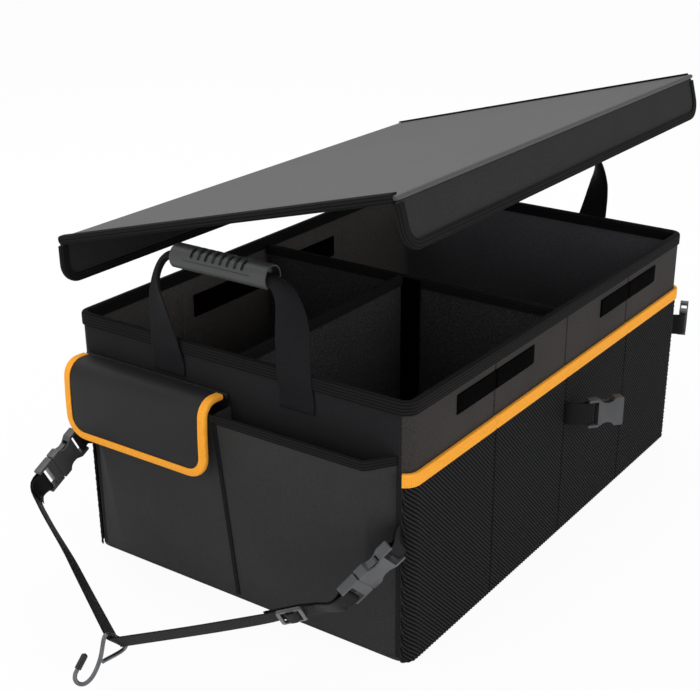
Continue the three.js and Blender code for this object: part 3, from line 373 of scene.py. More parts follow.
def joined(*parts):
    """Several sets of points, faces and UVs as one."""
    verts, faces, uvs = zip(*parts)
    starts = np.cumsum([0, *map(len, verts[:-1])])
    faces = [face + start for face, start in zip(faces, starts)]
    return np.concatenate(verts), np.concatenate(faces), np.concatenate(uvs)


def stand_in(name, mesh, finish, body, *nodes):
    """An object of a mesh and a finish that rides on its body and stands for the named nodes."""
    material, slot = finish
    mesh.materials.append(material)
    new = bpy.data.objects.new(name, mesh)
    bpy.context.scene.collection.objects.link(new)
    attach(new, body)
    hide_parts(*nodes)
    return new


def piece(name, shape, finish, *nodes, body="organizer", sharp=50, **attributes):
    """Makes an object of points, faces and UVs in millimetres, which stands for the named nodes.

    Doubles are merged and the faces are turned outwards. Each attribute is a number per point that its
    material reads.
    """
    verts, faces, uv = shape
    mesh = bpy.data.meshes.new(name)
    mesh.from_pydata(verts * MM, [], faces.tolist())
    layer = mesh.uv_layers.new(name="mm")
    layer.data.foreach_set("uv", uv[faces.ravel()].astype(np.float32).ravel())
    for key, values in attributes.items():
        mesh.attributes.new(key, "FLOAT", "POINT").data.foreach_set("value", values.astype(np.float32))
    made = bmesh.new()
    made.from_mesh(mesh)
    bmesh.ops.remove_doubles(made, verts=made.verts, dist=1e-6)
    bmesh.ops.recalc_face_normals(made, faces=made.faces)
    made.to_mesh(mesh)
    made.free()
    mesh.shade_smooth()
    mesh.set_sharp_from_angle(angle=math.radians(sharp))
    return stand_in(name, mesh, finish, body, *nodes)


def stops(low, high, step, edge=0.0):
    """Positions from low to high about a step apart, closer together over the distance edge at both ends."""
    even = np.linspace(low, high, max(2, round((high - low) / step) + 1))
    if not edge:
        return even
    near = edge * np.array([0, 0.06, 0.25, 0.55, 1.0])
    inner = even[(even > low + 1.3 * edge) & (even < high - 1.3 * edge)]
    return np.concatenate([low + near, inner, high - near[::-1]])


def rounding(t, edge):
    """The share of its thickness that a sheet keeps: a quarter ellipse over edge at both ends."""
    d = np.clip(np.minimum(t - t[0], t[-1] - t) / edge, 0, 1)
    return 0.2 + 0.8 * np.sqrt(1 - (1 - d) ** 2)


def normals_of(points):
    """Unit normals of a grid of points: the cross product of its two directions."""
    return unit(np.cross(np.gradient(points, axis=0), np.gradient(points, axis=1)))


def pairs(u, v):
    """The grid of every pair of two rows of numbers."""
    return np.stack(np.meshgrid(u, v, indexing="ij"), -1)


def cloth(u, v, centre, normal, half, edge=1.0):
    """A soft sheet about a middle surface, with rounded edges."""
    keep = rounding(u, edge)[:, None] * rounding(v, edge)
    reach = (half * keep)[..., None] * normal
    return slab(centre + reach, centre - reach, pairs(u, v))


def flat_sheet(axis, at, sign, u_span, v_span, half, edge=1.0, near=1.0, sway=0.0, phase=0.0):
    """A soft flat sheet across an axis, at a place on it, which faces the sign's way.

    A span is the low end, the high end and the step of the points along one of the other two axes. The
    points lie closer together over the distance near. The middle surface sways a little: by a product
    of sines that is nought along the sheet's edges.
    """
    u, v = stops(*u_span, near), stops(*v_span, near)
    flat = pairs(u, v)
    share = (flat - flat[0, 0]) / (flat[-1, -1] - flat[0, 0])
    bend = np.sin(np.pi * share).prod(-1) * np.sin(flat[..., 0] / 47 + flat[..., 1] / 61 + phase)
    normal = sign * np.eye(3)[axis]
    centre = np.insert(flat, axis, at, -1) + (sway * bend)[..., None] * normal
    return cloth(u, v, centre, normal, half, edge)


def fold(width, half, skin, out):
    """The section of a tape folded round an edge, as (inset, offset) rows of its outer and inner face.

    Each face is two straight legs of the width and a rounded turn that stands out past the edge.
    """
    angle = np.linspace(-math.pi / 2, math.pi / 2, 9)

    def face(reach, stand, legs):
        turn = np.stack([
            reach - stand - reach * np.cos(angle) ** 0.7,
            reach * np.sign(np.sin(angle)) * np.abs(np.sin(angle)) ** 0.8,
        ], -1)
        leg = np.linspace(legs, reach - stand, 4)[:-1]
        under = np.stack([leg, np.full(3, -reach)], -1)
        return np.concatenate([under, turn, (under * (1, -1))[::-1]])

    return face(half + skin, out, width), face(half, out - skin, width)


def taped(carried, lengths, width, half, skin, out, loop=False):
    """A tape folded round an edge: carried places the rows of its section along the edge."""
    outer, inner = fold(width, half, skin, out)
    return slab(carried(outer), carried(inner), pairs(lengths, lengths_of(outer))[..., ::-1], loop)


def binding(path, inward, normal, width, half, skin=TAPE, out=TAPE_ROOM, loop=False):
    """A tape folded round a sheet's edge: its section carried along the edge's path."""
    inward, normal = (np.broadcast_to(np.asarray(d, float), path.shape) for d in (inward, normal))

    def carried(section):
        inset = section[:, 0][None, :, None] * inward[:, None, :]
        offset = section[:, 1][None, :, None] * normal[:, None, :]
        return path[:, None, :] + inset + offset

    return taped(carried, lengths_of(path), width, half, skin, out, loop)


def lengths_of(points):
    """Distances along a line of points."""
    return np.concatenate([[0], np.cumsum(np.linalg.norm(np.diff(points, axis=0), axis=1))])


def between(place, places, rows):
    """Rows of numbers at a place among the places of given rows."""
    return np.stack([np.interp(place, places, column) for column in rows.T], -1)


def smooth_line(points, count):
    """A smooth line through points, at equal distances.

    It is a cubic Hermite curve whose parameter grows with the square root of each chord, and whose
    slopes are the differences of the neighbouring points.
    """
    points = np.asarray(points, float)
    knots = np.concatenate([[0], np.cumsum(np.diff(lengths_of(points)) ** 0.5)])
    slopes = np.gradient(points, knots, axis=0)
    t = np.linspace(0, knots[-1], 24 * len(points))
    i = np.clip(np.searchsorted(knots, t, side="right") - 1, 0, len(knots) - 2)
    h = (knots[i + 1] - knots[i])[:, None]
    f = (t - knots[i])[:, None] / h
    curve = (
        (2 * f ** 3 - 3 * f ** 2 + 1) * points[i] + (f ** 3 - 2 * f ** 2 + f) * h * slopes[i]
        + (3 * f ** 2 - 2 * f ** 3) * points[i + 1] + (f ** 3 - f ** 2) * h * slopes[i + 1]
    )
    run = lengths_of(curve)
    return between(np.linspace(0, run[-1], count), run, curve)


def unit(a):
    """Vectors of length one."""
    return a / np.maximum(np.linalg.norm(a, axis=-1, keepdims=True), 1e-9)


def squared(across, along):
    """Directions turned square to the unit directions along."""
    return unit(across - along * (across * along).sum(-1, keepdims=True))


def strap(points, across, width=WEB, half=WEB_HALF, curl=0.0):
    """A flat strap along a line. Its section is a thin ellipse-edged strip, curled by a parabola."""
    along = unit(np.gradient(points, axis=0))
    side = squared(across, along)
    width, curl = (np.broadcast_to(w, len(points))[:, None] for w in (width, curl))
    v = stops(-0.5, 0.5, 0.08, 0.05)
    lift = np.cross(along, side)[:, None] * (curl * (4 * v ** 2 - 0.4))[..., None]
    centre = points[:, None] + side[:, None] * (width * v)[..., None] + lift
    u = lengths_of(points)
    keep = rounding(u, 0.8)[:, None] * rounding(v, 0.05)
    reach = (half * keep)[..., None] * normals_of(centre)
    return slab(centre + reach, centre - reach, spread(u[:, None], WEB * v))


def tube(points, radius, sides=18):
    """A round wire along a line, its radius given along it, with closed ends.

    The section's first direction is carried along by taking out its share along each new tangent.
    """
    along = unit(np.gradient(points, axis=0))
    side = np.empty_like(points)
    side[0] = unit(np.cross(along[0], [0.3, 0.9, 0.2]))
    for i in range(1, len(points)):
        side[i] = unit(side[i - 1] - along[i] * np.dot(side[i - 1], along[i]))
    up = np.cross(along, side)
    angle = np.linspace(0, 2 * math.pi, sides, endpoint=False)[:, None]
    radius = np.broadcast_to(radius, len(points))[:, None, None]
    ring = points[:, None] + radius * (np.cos(angle) * side[:, None] + np.sin(angle) * up[:, None])
    first, last = (np.broadcast_to(points[k], (1, sides, 3)) for k in (0, -1))
    grid = np.concatenate([first, ring, last])
    index = np.arange(len(grid) * sides).reshape(-1, sides)
    faces = quads(np.concatenate([index, index[:, :1]], 1))
    run = lengths_of(points)
    uv = pairs([0, *run, run[-1]], angle * 2)
    return grid.reshape(-1, 3), faces, uv.reshape(-1, 2)


def softened(node, width=0.45):
    """A copy of a rigid CAD node with its faces merged and its edges rounded, which replaces it."""
    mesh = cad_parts[node].data.copy()
    made = bmesh.new()
    made.from_mesh(mesh)
    bmesh.ops.remove_doubles(made, verts=made.verts, dist=1e-6)
    bmesh.ops.dissolve_limit(
        made, angle_limit=math.radians(1.0), verts=made.verts, edges=made.edges, delimit=set())
    made.to_mesh(mesh)
    made.free()
    mesh.materials.clear()
    mesh.shade_smooth()
    new = stand_in(f"{node}_moulding", mesh, BUCKLE_PLASTIC, "organizer", node)
    bevel = new.modifiers.new("rounded_edges", "BEVEL")
    bevel.width = width * MM
    bevel.segments = 3
    bevel.limit_method = "ANGLE"
    bevel.angle_limit = math.radians(28)
    bevel.harden_normals = True


def about_z(shape, sign):
    """A shape as it is, or with the sign -1 turned half round about the vertical."""
    verts, faces, uv = shape
    return verts * (sign, sign, 1), faces, uv


def mirrored(shape):
    """A shape mirrored from the front to the rear, with its faces turned back."""
    verts, faces, uv = shape
    return verts * (1, -1, 1), faces[:, ::-1], uv


def inner_side(shape):
    """One at a slab's under points, nought at its top ones."""
    return np.repeat([0.0, 1.0], len(shape[0]) // 2)


# Long sides: the wall, its mesh layer, its band and its strips, all on one path round both corners

def side_points(s, z, out, depth=CREASE_DEPTH):
    """Points outside a long side's face by out, at the distances s along it and the heights z.

    The direction turns from -X through -Y to +X. A crease is a V of the given depth.
    """
    turn = np.clip(s / CORNER_R, 0, math.pi / 2)
    turn = turn + np.clip((s - QUARTER - STRAIGHT) / CORNER_R, 0, math.pi / 2)
    x = -STRAIGHT / 2 + np.clip(s - QUARTER, 0, STRAIGHT)
    creased = sum(np.clip(1 - np.abs(x - c) / CREASE_HALF, 0, 1) for c in CREASES)
    reach = CORNER_R + out - depth * creased ** 0.8
    y = -(WIDTH / 2 - CORNER_R) - reach * np.sin(turn)
    return spread(x - reach * np.cos(turn), y, z)


def side_stops(low, high):
    """Distances along a long side, closer together round its corners and at its creases."""
    folds = [SIDE_MIDDLE + c + d for c in CREASES for d in CREASE_STOPS]
    corners = np.concatenate([np.linspace(0, QUARTER, 11), np.linspace(SIDE_RUN - QUARTER, SIDE_RUN, 11)])
    even = np.arange(QUARTER, SIDE_RUN - QUARTER, SIDE_STEP)
    clear = [e for e in even if all(abs(e - f) > 2 for f in folds)]
    every = np.unique(np.round(np.concatenate([folds, corners, clear, [low, high]]), 4))
    return every[(every >= low) & (every <= high)]


def side_wall():
    """A long side's cloth, from seam to seam."""
    run = side_stops(SEAM_RUN, SIDE_RUN - SEAM_RUN)
    rise = stops(WALL_BOTTOM, WALL_TOP, 12)
    face = side_points(run[:, None], rise, 0.0)
    return slab(face, side_points(run[:, None], rise, -WALL, -0.8), pairs(run, rise))


def ribbed_layer():
    """The mesh layer on a grid whose columns follow the diagonal ribs down to the right.

    A point's distance along the side is its column's start less its height, held within the side's
    ends. The height of a rib is a sine hump of that start.
    """
    z = stops(MESH_BOTTOM, MESH_TOP, 6.5)
    tall = MESH_TOP - MESH_BOTTOM
    start = np.arange(0, SIDE_RUN + tall + RIB_RUN, RIB_RUN / 6)
    s = np.clip(start[:, None] - (z - MESH_BOTTOM), LAYER_RUN, SIDE_RUN - LAYER_RUN)
    hump = np.abs(np.sin(math.pi * start / RIB_RUN)) ** 1.3
    crest = np.broadcast_to(hump[:, None], s.shape)
    top = side_points(s, z, MESH_OUTER + RIB_HEIGHT * crest, 0)
    return slab(top, side_points(s, z, MESH_INNER, 0), spread(s, z)), np.tile(crest.ravel(), 2)


def folded_band():
    """The bright band: a strip folded over the mesh's top edge, as an outer and an inner section."""
    outer = np.array([
        [GAP, BAND_BOTTOM], [GAP, 194], [GAP, 199.6], [0.8, 200.7], [2.4, BAND_TOP], [4.0, 200.7],
        [BAND_OUT, 199.6], [BAND_OUT + 0.15, 194], [BAND_OUT, BAND_BOTTOM],
    ])
    inner = np.array([
        [1.3, BAND_BOTTOM], [1.3, 192], [1.3, 196.6], [1.5, 197], [2.4, 197.2], [3.3, 197],
        [3.6, 196.6], [3.6, 192], [3.6, BAND_BOTTOM],
    ])
    s = side_stops(LAYER_RUN, SIDE_RUN - LAYER_RUN)
    faces = [side_points(s[:, None], section[:, 1], section[:, 0], 0.9) for section in (outer, inner)]
    return slab(*faces, pairs(s, lengths_of(outer)))


def side_strip(low, high):
    """A hook-and-loop strip on the wall's face, with rounded edges."""
    s = side_stops(SIDE_MIDDLE + low, SIDE_MIDDLE + high)
    z = stops(STRIP_BOTTOM, STRIP_TOP, 4, 1.0)
    keep = rounding(s, 1.0)[:, None] * rounding(z, 1.0)
    face = side_points(s[:, None], z, GAP + (STRIP + 0.3) * keep)
    return slab(face, side_points(s[:, None], z, GAP), pairs(s, z))


wall_shape = side_wall()
layer_shape, layer_crest = ribbed_layer()
band_shape = folded_band()
for side, sign in (("front", 1), ("rear", -1)):
    piece(
        f"{side}_wall_cloth", about_z(wall_shape, sign), WALL_CLOTH, f"{side}_wall",
        inner=inner_side(wall_shape))
    piece(
        f"{side}_ribbed_mesh", about_z(layer_shape, sign), MESH_CLOTH, f"{side}_mesh_layer",
        sharp=80, crest=layer_crest)
    piece(f"{side}_bright_band", about_z(band_shape, sign), ORANGE, f"{side}_band")
    for end, (low, high) in STRIP_RUNS.items():
        strip = side_strip(low, high) if side == "front" else mirrored(side_strip(low, high))
        piece(f"{side}_{end}_pile", strip, PILE, f"{side}_{end}_strip")

# End walls, floor and rim

def end_wall():
    """An end wall: flat, with both ends turned round the corners as far as the long sides' seams."""
    turn = np.linspace(SEAM_RUN - 0.1, 0, 6) / CORNER_R
    flat = np.linspace(-END_SEAM_Y, END_SEAM_Y, 34)[1:-1]
    rise = stops(WALL_BOTTOM, WALL_TOP, 12)

    def grid(r):
        low = spread(-STRAIGHT / 2 - r * np.cos(turn), -END_SEAM_Y - r * np.sin(turn))
        line = np.concatenate([low, spread(-STRAIGHT / 2 - r, flat), (low * (1, -1))[::-1]])
        return spread(line[:, :1], line[:, 1:], rise)

    face = grid(CORNER_R)
    return slab(face, grid(CORNER_R - WALL), face[..., 1:])


ENDS = (("left", 1), ("right", -1))
end_shape = end_wall()
for end, sign in ENDS:
    piece(
        f"{end}_end_cloth", about_z(end_shape, sign), END_CLOTH, f"{end}_end_wall",
        inner=inner_side(end_shape))


def rounded_plan(half_x, half_y, r, step=8.0):
    """A closed rounded rectangle: points and outward directions."""
    turns = np.linspace(0, math.pi / 2, 9)
    corner = np.array([half_x - r, half_y - r])
    centres = [corner * signs for signs in ((1, 1), (-1, 1), (-1, -1), (1, -1))]
    points, outward = [], []
    for k, centre in enumerate(centres):
        ray = spread(np.cos(turns + k * math.pi / 2), np.sin(turns + k * math.pi / 2))
        arc = centre + r * ray
        start = centres[(k + 1) % 4] + r * ray[-1]
        count = max(2, int(np.linalg.norm(start - arc[-1]) / step))
        line = np.linspace(arc[-1], start, count + 1)[1:-1]
        points += [arc, line]
        outward += [ray, np.broadcast_to(ray[-1], line.shape)]
    return np.concatenate(points), np.concatenate(outward)


def lifted(plan, z):
    """Plan points or directions with a height."""
    return np.concatenate([plan, np.full((len(plan), 1), float(z))], 1)


plan, outward = rounded_plan(LENGTH / 2 - 2, WIDTH / 2 - 2, CORNER_R - 2)
rim_shape = binding(
    lifted(plan, WALL_TOP), (0, 0, -1), lifted(outward, 0), RIM_TAPE_HEIGHT - TAPE_ROOM, BOUND_HALF,
    loop=True)
piece("rim_binding", rim_shape, BINDING, "rim_tape")

BOARD_CREASE_HALF = 2.4


def plate(plan, low, high, crease=0.0):
    """A flat plate of a closed plan: rings of the plan drawn in to its middle line, with rounded edges.

    The crease is the depth of a V across the middle of its top.
    """
    middle = plan * (1, 0)
    share = np.concatenate([[0.0, 0.001, 0.004, 0.02], np.linspace(0.1, 1.0, 12)])
    grid = plan[:, None, :] + (middle - plan)[:, None, :] * share[None, :, None]
    half = (high - low) / 2 * np.concatenate([[0, 0.55, 0.88], np.ones(len(share) - 3)])
    centre = (low + high) / 2
    top = centre + half - crease * np.clip(1 - np.abs(grid[..., 0]) / BOARD_CREASE_HALF, 0, 1)
    faces = (spread(grid[..., 0], grid[..., 1], z) for z in (top, centre - half))
    return slab(*faces, grid, True)


piece("floor_cloth", plate(rounded_plan(LENGTH / 2, WIDTH / 2, CORNER_R)[0], 0, 4), WALL_CLOTH, "floor_panel")

BOARD_HALF = np.array([294.0, 194.0])
BOARD_R = 22
BOARD_LOW = 4.3
BOARD_TOP = 8.3
BOARD_CREASE = 1.1
PULL_TABS = {"left": (-293, -271), "right": (271, 293)}


def board_plan():
    """The board's plan with close points about its middle crease."""
    points = rounded_plan(*BOARD_HALF, BOARD_R, 12.0)[0]
    extra = np.array([[x, s * BOARD_HALF[1]] for s in (1, -1) for x in (-2.4, -1.2, 0.0, 1.2, 2.4)])
    every = np.concatenate([points[np.abs(points[:, 0]) > 4], extra])
    x, y = (every / BOARD_HALF).T
    return every[np.argsort(np.arctan2(y, x))]


piece("base_board_cloth", plate(board_plan(), BOARD_LOW, BOARD_TOP, BOARD_CREASE), LINING, "base_board")
for end, (low, high) in PULL_TABS.items():
    tab = flat_sheet(2, BOARD_TOP + 1, 1, (low, high, 4), (-14, 14, 4), WEB_HALF, near=1.2)
    piece(f"{end}_pull_tab_webbing", tab, WEBBING, f"{end}_pull_tab")

for side, sign in (("front", -1), ("rear", 1)):
    strip = flat_sheet(
        1, sign * INNER_STRIP_Y, -sign, (-133, 133, 8), (211, 237, 5), INNER_STRIP_HALF)
    piece(f"{side}_inner_pile", strip, PILE, f"{side}_inner_strip")

# Dividers: axis across it, place on the axis, ends of the panel, ends of its tape, foot, sway's phase

DIVIDERS = {
    "main": (0, 0.0, (-194.2, 194.2), (-193.9, 193.9), 8.6, 0.7),
    "short": (1, 4.0, (-294.2, -5.6), (-294.2, -5.6), 10.3, 2.1),
}
for name, (axis, at, ends, tape_ends, foot, phase) in DIVIDERS.items():
    panel = flat_sheet(
        axis, at, -1, (*ends, 9), (foot, DIVIDER_PANEL_TOP, 9), DIVIDER_HALF, sway=DIVIDER_SWAY, phase=phase)
    piece(f"{name}_divider_cloth", panel, LINING, f"{name}_divider")
    row = np.linspace(*tape_ends, int((tape_ends[1] - tape_ends[0]) / 6) + 1)
    path = np.insert(lifted(row[:, None], DIVIDER_PANEL_TOP), axis, at, -1)
    tape = binding(path, (0, 0, -1), -np.eye(3)[axis], DIVIDER_TAPE - TAPE_ROOM, BOUND_HALF)
    piece(f"{name}_divider_binding", tape, BINDING, f"{name}_divider_tape")
for name, at, sign, low, high in (("inner", -4.7, -1, 108, 260), ("outer", -295.1, 1, 104, 256)):
    tab = flat_sheet(0, at, sign, TAB_Y, (low, high, 8), PILE_HALF)
    piece(f"short_divider_{name}_pile", tab, PILE, f"short_divider_{name}_tab")

# Handles

SEWN_X = -301.3
GRIP_X = -303.1
GRIP_Z = 357.0
GRIP_HALF = 56.5
GRIP_R = 12.2
GRIP_WALL = 2.4
GRIP_OPEN = math.radians(38)
SLOT_PITCH = 8.5
SLOTS = (np.arange(8) - 3.5) * SLOT_PITCH
SLOT_HALF_ARC = 12.6
SLOT_HALF = 1.9
SLOT_DEPTH = 1.7
PARTING_ARC = 17.4
PARTING_HALF = 39
HANDLE_WEB = 40
LEG_STEPS = 90

# Stations of both legs: y, z, twist in degrees, share of the full width. The far leg bows out, and the
# near one stands straight. The first two stations are sewn to the wall.
FAR_LEG = np.array([
    (78, 232, 0, 1.0), (78, 245, 0, 1.0), (79.5, 262, 3, 0.95), (82.5, 280, 9, 0.88),
    (84.6, 296, 15, 0.83), (85.6, 311, 23, 0.77), (85.0, 323, 33, 0.67), (82.5, 334, 42, 0.56),
    (77.5, 344, 48, 0.46), (70.0, 352, 60, 0.42), (60.0, 356, 75, 0.42), (48.0, 357.5, 90, 0.42),
])
NEAR_LEG = np.array([
    (-78, 232, 0, 1.0), (-78, 245, 0, 1.0), (-77.2, 262, 3, 0.95), (-76.5, 280, 9, 0.88),
    (-76.2, 296, 15, 0.84), (-76.0, 311, 23, 0.79), (-75.0, 325, 34, 0.68), (-72.5, 337, 43, 0.56),
    (-68.5, 346, 50, 0.47), (-63.0, 352.5, 62, 0.44), (-55.0, 356.5, 76, 0.43), (-45.0, 358, 90, 0.43),
])


def handle_leg(stations):
    """One leg of a handle: flat on the wall, then turning and gathering up into the grip."""
    side = np.sign(stations[0, 0])
    x = np.where(np.arange(len(stations)) < 2, SEWN_X, GRIP_X)
    points = np.column_stack([x, stations[:, :2]])
    share = np.linspace(0, 1, LEG_STEPS)
    knots = lengths_of(points) / lengths_of(points)[-1]
    twist = np.radians(np.interp(share, knots, stations[:, 2]))
    width = HANDLE_WEB * np.interp(share, knots, stations[:, 3])
    ease = np.clip((share - 0.3) / 0.55, 0, 1)
    curl = 4.5 * ease * ease * (3 - 2 * ease)
    across = spread(side * np.sin(twist), np.cos(twist), 0) * side
    return strap(smooth_line(points, LEG_STEPS), across, width, 1.0, curl)


def grip_shape():
    """A moulded C-section about its own axis, open below, and the painted shade at each point.

    Its radius dips by a slot's depth inside eight stadium outlines across the top, and by a fine groove
    along the parting line. Both lips and both ends are rounded.
    """
    low = -math.pi / 2 + GRIP_OPEN
    high = 1.5 * math.pi - GRIP_OPEN
    lip = np.array([0, 0.01, 0.03, 0.06])
    angle = np.concatenate([low + lip, np.linspace(low + 0.1, high - 0.1, 120), high - lip[::-1]])
    y = stops(-GRIP_HALF, GRIP_HALF, 0.55, 1.8)
    a, b = np.meshgrid(angle, y, indexing="ij")
    arc = (a - math.pi / 2) * GRIP_R
    dips = 0
    for centre in SLOTS:
        reach = np.hypot(np.maximum(np.abs(arc) - SLOT_HALF_ARC, 0), b - centre)
        dips = dips + SLOT_DEPTH * np.clip((SLOT_HALF - reach) / 0.5, 0, 1)
    parting = np.exp(-((np.abs(arc) - PARTING_ARC) / 0.45) ** 2) * (np.abs(b) < PARTING_HALF)
    half = GRIP_WALL / 2 * rounding(angle, 0.1)[:, None] * rounding(y, 1.8)
    middle = GRIP_R - GRIP_WALL / 2

    def rolled(radius):
        return spread(GRIP_X + radius * np.cos(a), b, GRIP_Z + radius * np.sin(a))

    # Painted shade: full in the slots, less along the parting groove, and 0.6 over the whole inner face
    deep = np.clip(dips / 1.2, 0, 1) + 0.8 * parting
    sunk = np.concatenate([deep.ravel(), np.full(deep.size, 0.6)])
    outer = rolled(middle + half - dips - 0.5 * parting)
    return slab(outer, rolled(middle - half), spread(arc, b)), sunk


grip, grip_sunk = grip_shape()
legs = joined(handle_leg(FAR_LEG), handle_leg(NEAR_LEG))
for end, sign in ENDS:
    piece(f"{end}_handle_straps", about_z(legs, sign), WEBBING, f"{end}_handle_webbing")
    piece(
        f"{end}_grip_moulding", about_z(grip, sign), GRIP_PLASTIC, f"{end}_handle_grip",
        sharp=40, sunk=grip_sunk)

# End pockets

POCKET_IN = -300.3
POCKET_LOW = 5.0
POCKET_TOP = 217.0
POCKET_SEAM = 187.0
POCKET_OUT = 2.0
POCKET_LEAN = 25.0
FOLD_IN_LOW = 41
FOLD_IN_TOP = 30
FOLD_RUN = 4.0
OPEN_TAPE_FROM = 1.4
OPEN_TAPE_TO = -186.6
# Down the leaning face and square out of it
DOWN_FACE = np.array([0.118, 0.0, -0.993])
OUT_OF_FACE = np.array([-0.993, 0.0, -0.118])


def pocket_share(z):
    """How far up the pockets a height is."""
    return (z - POCKET_LOW) / (POCKET_TOP - POCKET_LOW)


def pocket_line(z, back=0.0):
    """The pocket cloth's outer line in plan at the heights z: seam, rounded fold, face, fold, seam.

    The face leans out from its foot to its top. The folds are quadratic curves. Everything is drawn in
    by the distance back.
    """
    z = z[:, None]
    share = pocket_share(z)
    face = POCKET_IN - POCKET_OUT - POCKET_LEAN * share + back
    fold_y = WIDTH / 2 - (FOLD_IN_LOW + (FOLD_IN_TOP - FOLD_IN_LOW) * share) - back
    seam = POCKET_SEAM - back
    cut = np.minimum(FOLD_RUN / np.hypot(face - POCKET_IN, fold_y - seam), 0.45)
    before_x = face - (face - POCKET_IN) * cut
    before_y = fold_y + (seam - fold_y) * cut
    after_y = fold_y - FOLD_RUN
    side = np.linspace(0, 1, 9)[:-1]
    side_x = POCKET_IN + (before_x - POCKET_IN) * side
    side_y = seam + (before_y - seam) * side
    q = np.linspace(0, 1, 7)
    bend_x = (1 - q) ** 2 * before_x + (2 * q * (1 - q) + q * q) * face
    bend_y = (1 - q) ** 2 * before_y + 2 * q * (1 - q) * fold_y + q * q * after_y
    middle = np.linspace(1, -1, 44)[1:-1]
    x = np.concatenate([side_x, bend_x, face * np.ones_like(middle), bend_x[:, ::-1], side_x[:, ::-1]], 1)
    y = np.concatenate([side_y, bend_y, after_y * middle, -bend_y[:, ::-1], -side_y[:, ::-1]], 1)
    return spread(x, y, z)


def pocket_cloth():
    """The pockets' shared front and their dividing web, each a closed sheet 2 mm thick."""
    z = stops(POCKET_LOW, POCKET_TOP - TAPE_ROOM, 9, 1.0)
    outer = pocket_line(z)
    front = slab(outer, pocket_line(z, 1.9), pairs(z, lengths_of(outer[-1]))[..., ::-1])
    x = POCKET_IN - (1.5 + 24.5 * pocket_share(z))[:, None] * np.linspace(0, 1, 6)
    web = spread(x, 3.0, z[:, None])
    lean = np.array([0, 0.9, 0])
    return joined(front, slab(web + lean, web - lean, web[..., ::2]))


piece("end_pocket_cloth", pocket_cloth(), POCKET_CLOTH, "end_pocket_body", sharp=60)

# The open pocket's tape follows the top line from the middle web to the near seam
top_line = pocket_line(np.array([POCKET_TOP - TAPE_ROOM]), 1.0)[0]
near = top_line[top_line[:, 1] < OPEN_TAPE_FROM]
near = np.concatenate([[[near[0, 0], OPEN_TAPE_FROM, near[0, 2]]], near])
near = near[near[:, 1] > OPEN_TAPE_TO]
near_out = unit(np.cross(unit(np.gradient(near, axis=0)), [0.0, 0.0, 1.0]))
near_out *= np.sign(-near_out[len(near) // 3, 0])
open_tape = binding(near, DOWN_FACE, near_out, 7.4, 1.4, 1.2)
piece("open_pocket_binding", open_tape, BINDING, "open_pocket_tape")

line_z = stops(7, 207.5, 8, 1.0)
line_y = stops(-1, 4, 1.5, 0.6)
line_x = POCKET_IN - POCKET_OUT - POCKET_LEAN * pocket_share(line_z) - 0.75
line_tape = cloth(
    line_z, line_y, spread(line_x[:, None], line_y, line_z[:, None]), OUT_OF_FACE, 0.5, 0.6)
piece("pocket_line_binding", line_tape, BINDING, "pocket_line_tape")

# Pocket flap: its flat outline is bent over a line in the XZ plane

FLAP_PIVOT = np.array([-308.0, 227.0])
FLAP_LOW_Y = 4.0
FLAP_HIGH_Y = 190.0
FLAP_R = 24.0
HEM_X = -302.4
HEM_LOW = 223
HEM_TOP = 228.6
HEM_HALF = 2.0
bend = np.radians(np.linspace(90, 180, 7))
FLAP_LINE = np.concatenate([
    [[0, 0], [-9.2, 0.6]],
    spread(-11 + 15 * np.cos(bend), -14.4 + 15 * np.sin(bend)),
    [[-27, -32.3], [-27.5, -77]],
])
flap_curve = smooth_line(FLAP_LINE, 160)
flap_run = lengths_of(flap_curve)
FLAP_END = flap_run[-1]
flap_tangent = unit(np.gradient(flap_curve, axis=0))
flap_normal = flap_tangent[:, ::-1] * (1, -1)


def flap_point(s, y, offset):
    """Where a flat point (s down the flap, y across it) lies, raised from the bent middle line by offset."""
    raised = offset[..., None] * between(s, flap_run, flap_normal)
    x, z = np.moveaxis(between(s, flap_run, flap_curve) + raised, -1, 0)
    over = np.maximum(s - FLAP_END, 0)
    return spread(x + FLAP_PIVOT[0], y, z + FLAP_PIVOT[1] - over)


def hanging_outline(low, high, length, r, first, step):
    """The open outline of a panel that hangs from its upper edge, with rounded lower corners.

    Rows of (down, across), with the directions inwards, from the upper edge at low round to high.
    """
    turn = np.linspace(0, math.pi / 2, 10)
    straight = np.linspace(first, length - r, max(2, int((length - r - first) / step)))[:-1]
    left = spread(straight, low)
    corner = spread(length - r + r * np.sin(turn), low + r - r * np.cos(turn))
    corner_in = spread(-np.sin(turn), np.cos(turn))
    base = np.linspace(low + r, high - r, max(2, int((high - low - 2 * r) / step)))[1:-1]
    bottom = spread(length, base)
    half = np.concatenate([left, corner])
    half_in = np.concatenate([np.broadcast_to((0.0, 1.0), left.shape), corner_in])
    swap = np.array([1, -1])
    other = half[::-1] * swap + (0, low + high)
    return (
        np.concatenate([half, bottom, other]),
        np.concatenate([half_in, np.broadcast_to((-1.0, 0.0), bottom.shape), half_in[::-1] * swap]),
    )


def hanging_grid(low, high, length, r, first, step):
    """Flat points (down, across) over such a panel: each row is as wide as the outline there."""
    even = np.linspace(first, length - r, max(2, int((length - r - first) / step)))
    turn = np.linspace(0, math.pi / 2, 12)[1:]
    s = np.concatenate([even, length - r + r * np.sin(turn)])
    s[-1] = length - 0.02
    rest = np.sqrt(np.maximum(r * r - np.maximum(s - (length - r), 0) ** 2, 0))
    inset = np.where(s > length - r, r - rest, 0)
    t = stops(0, 1, step / (high - low), 6 / (high - low))
    y = (low + inset)[:, None] + (high - low - 2 * inset)[:, None] * t[None, :]
    return np.broadcast_arrays(s[:, None], y)


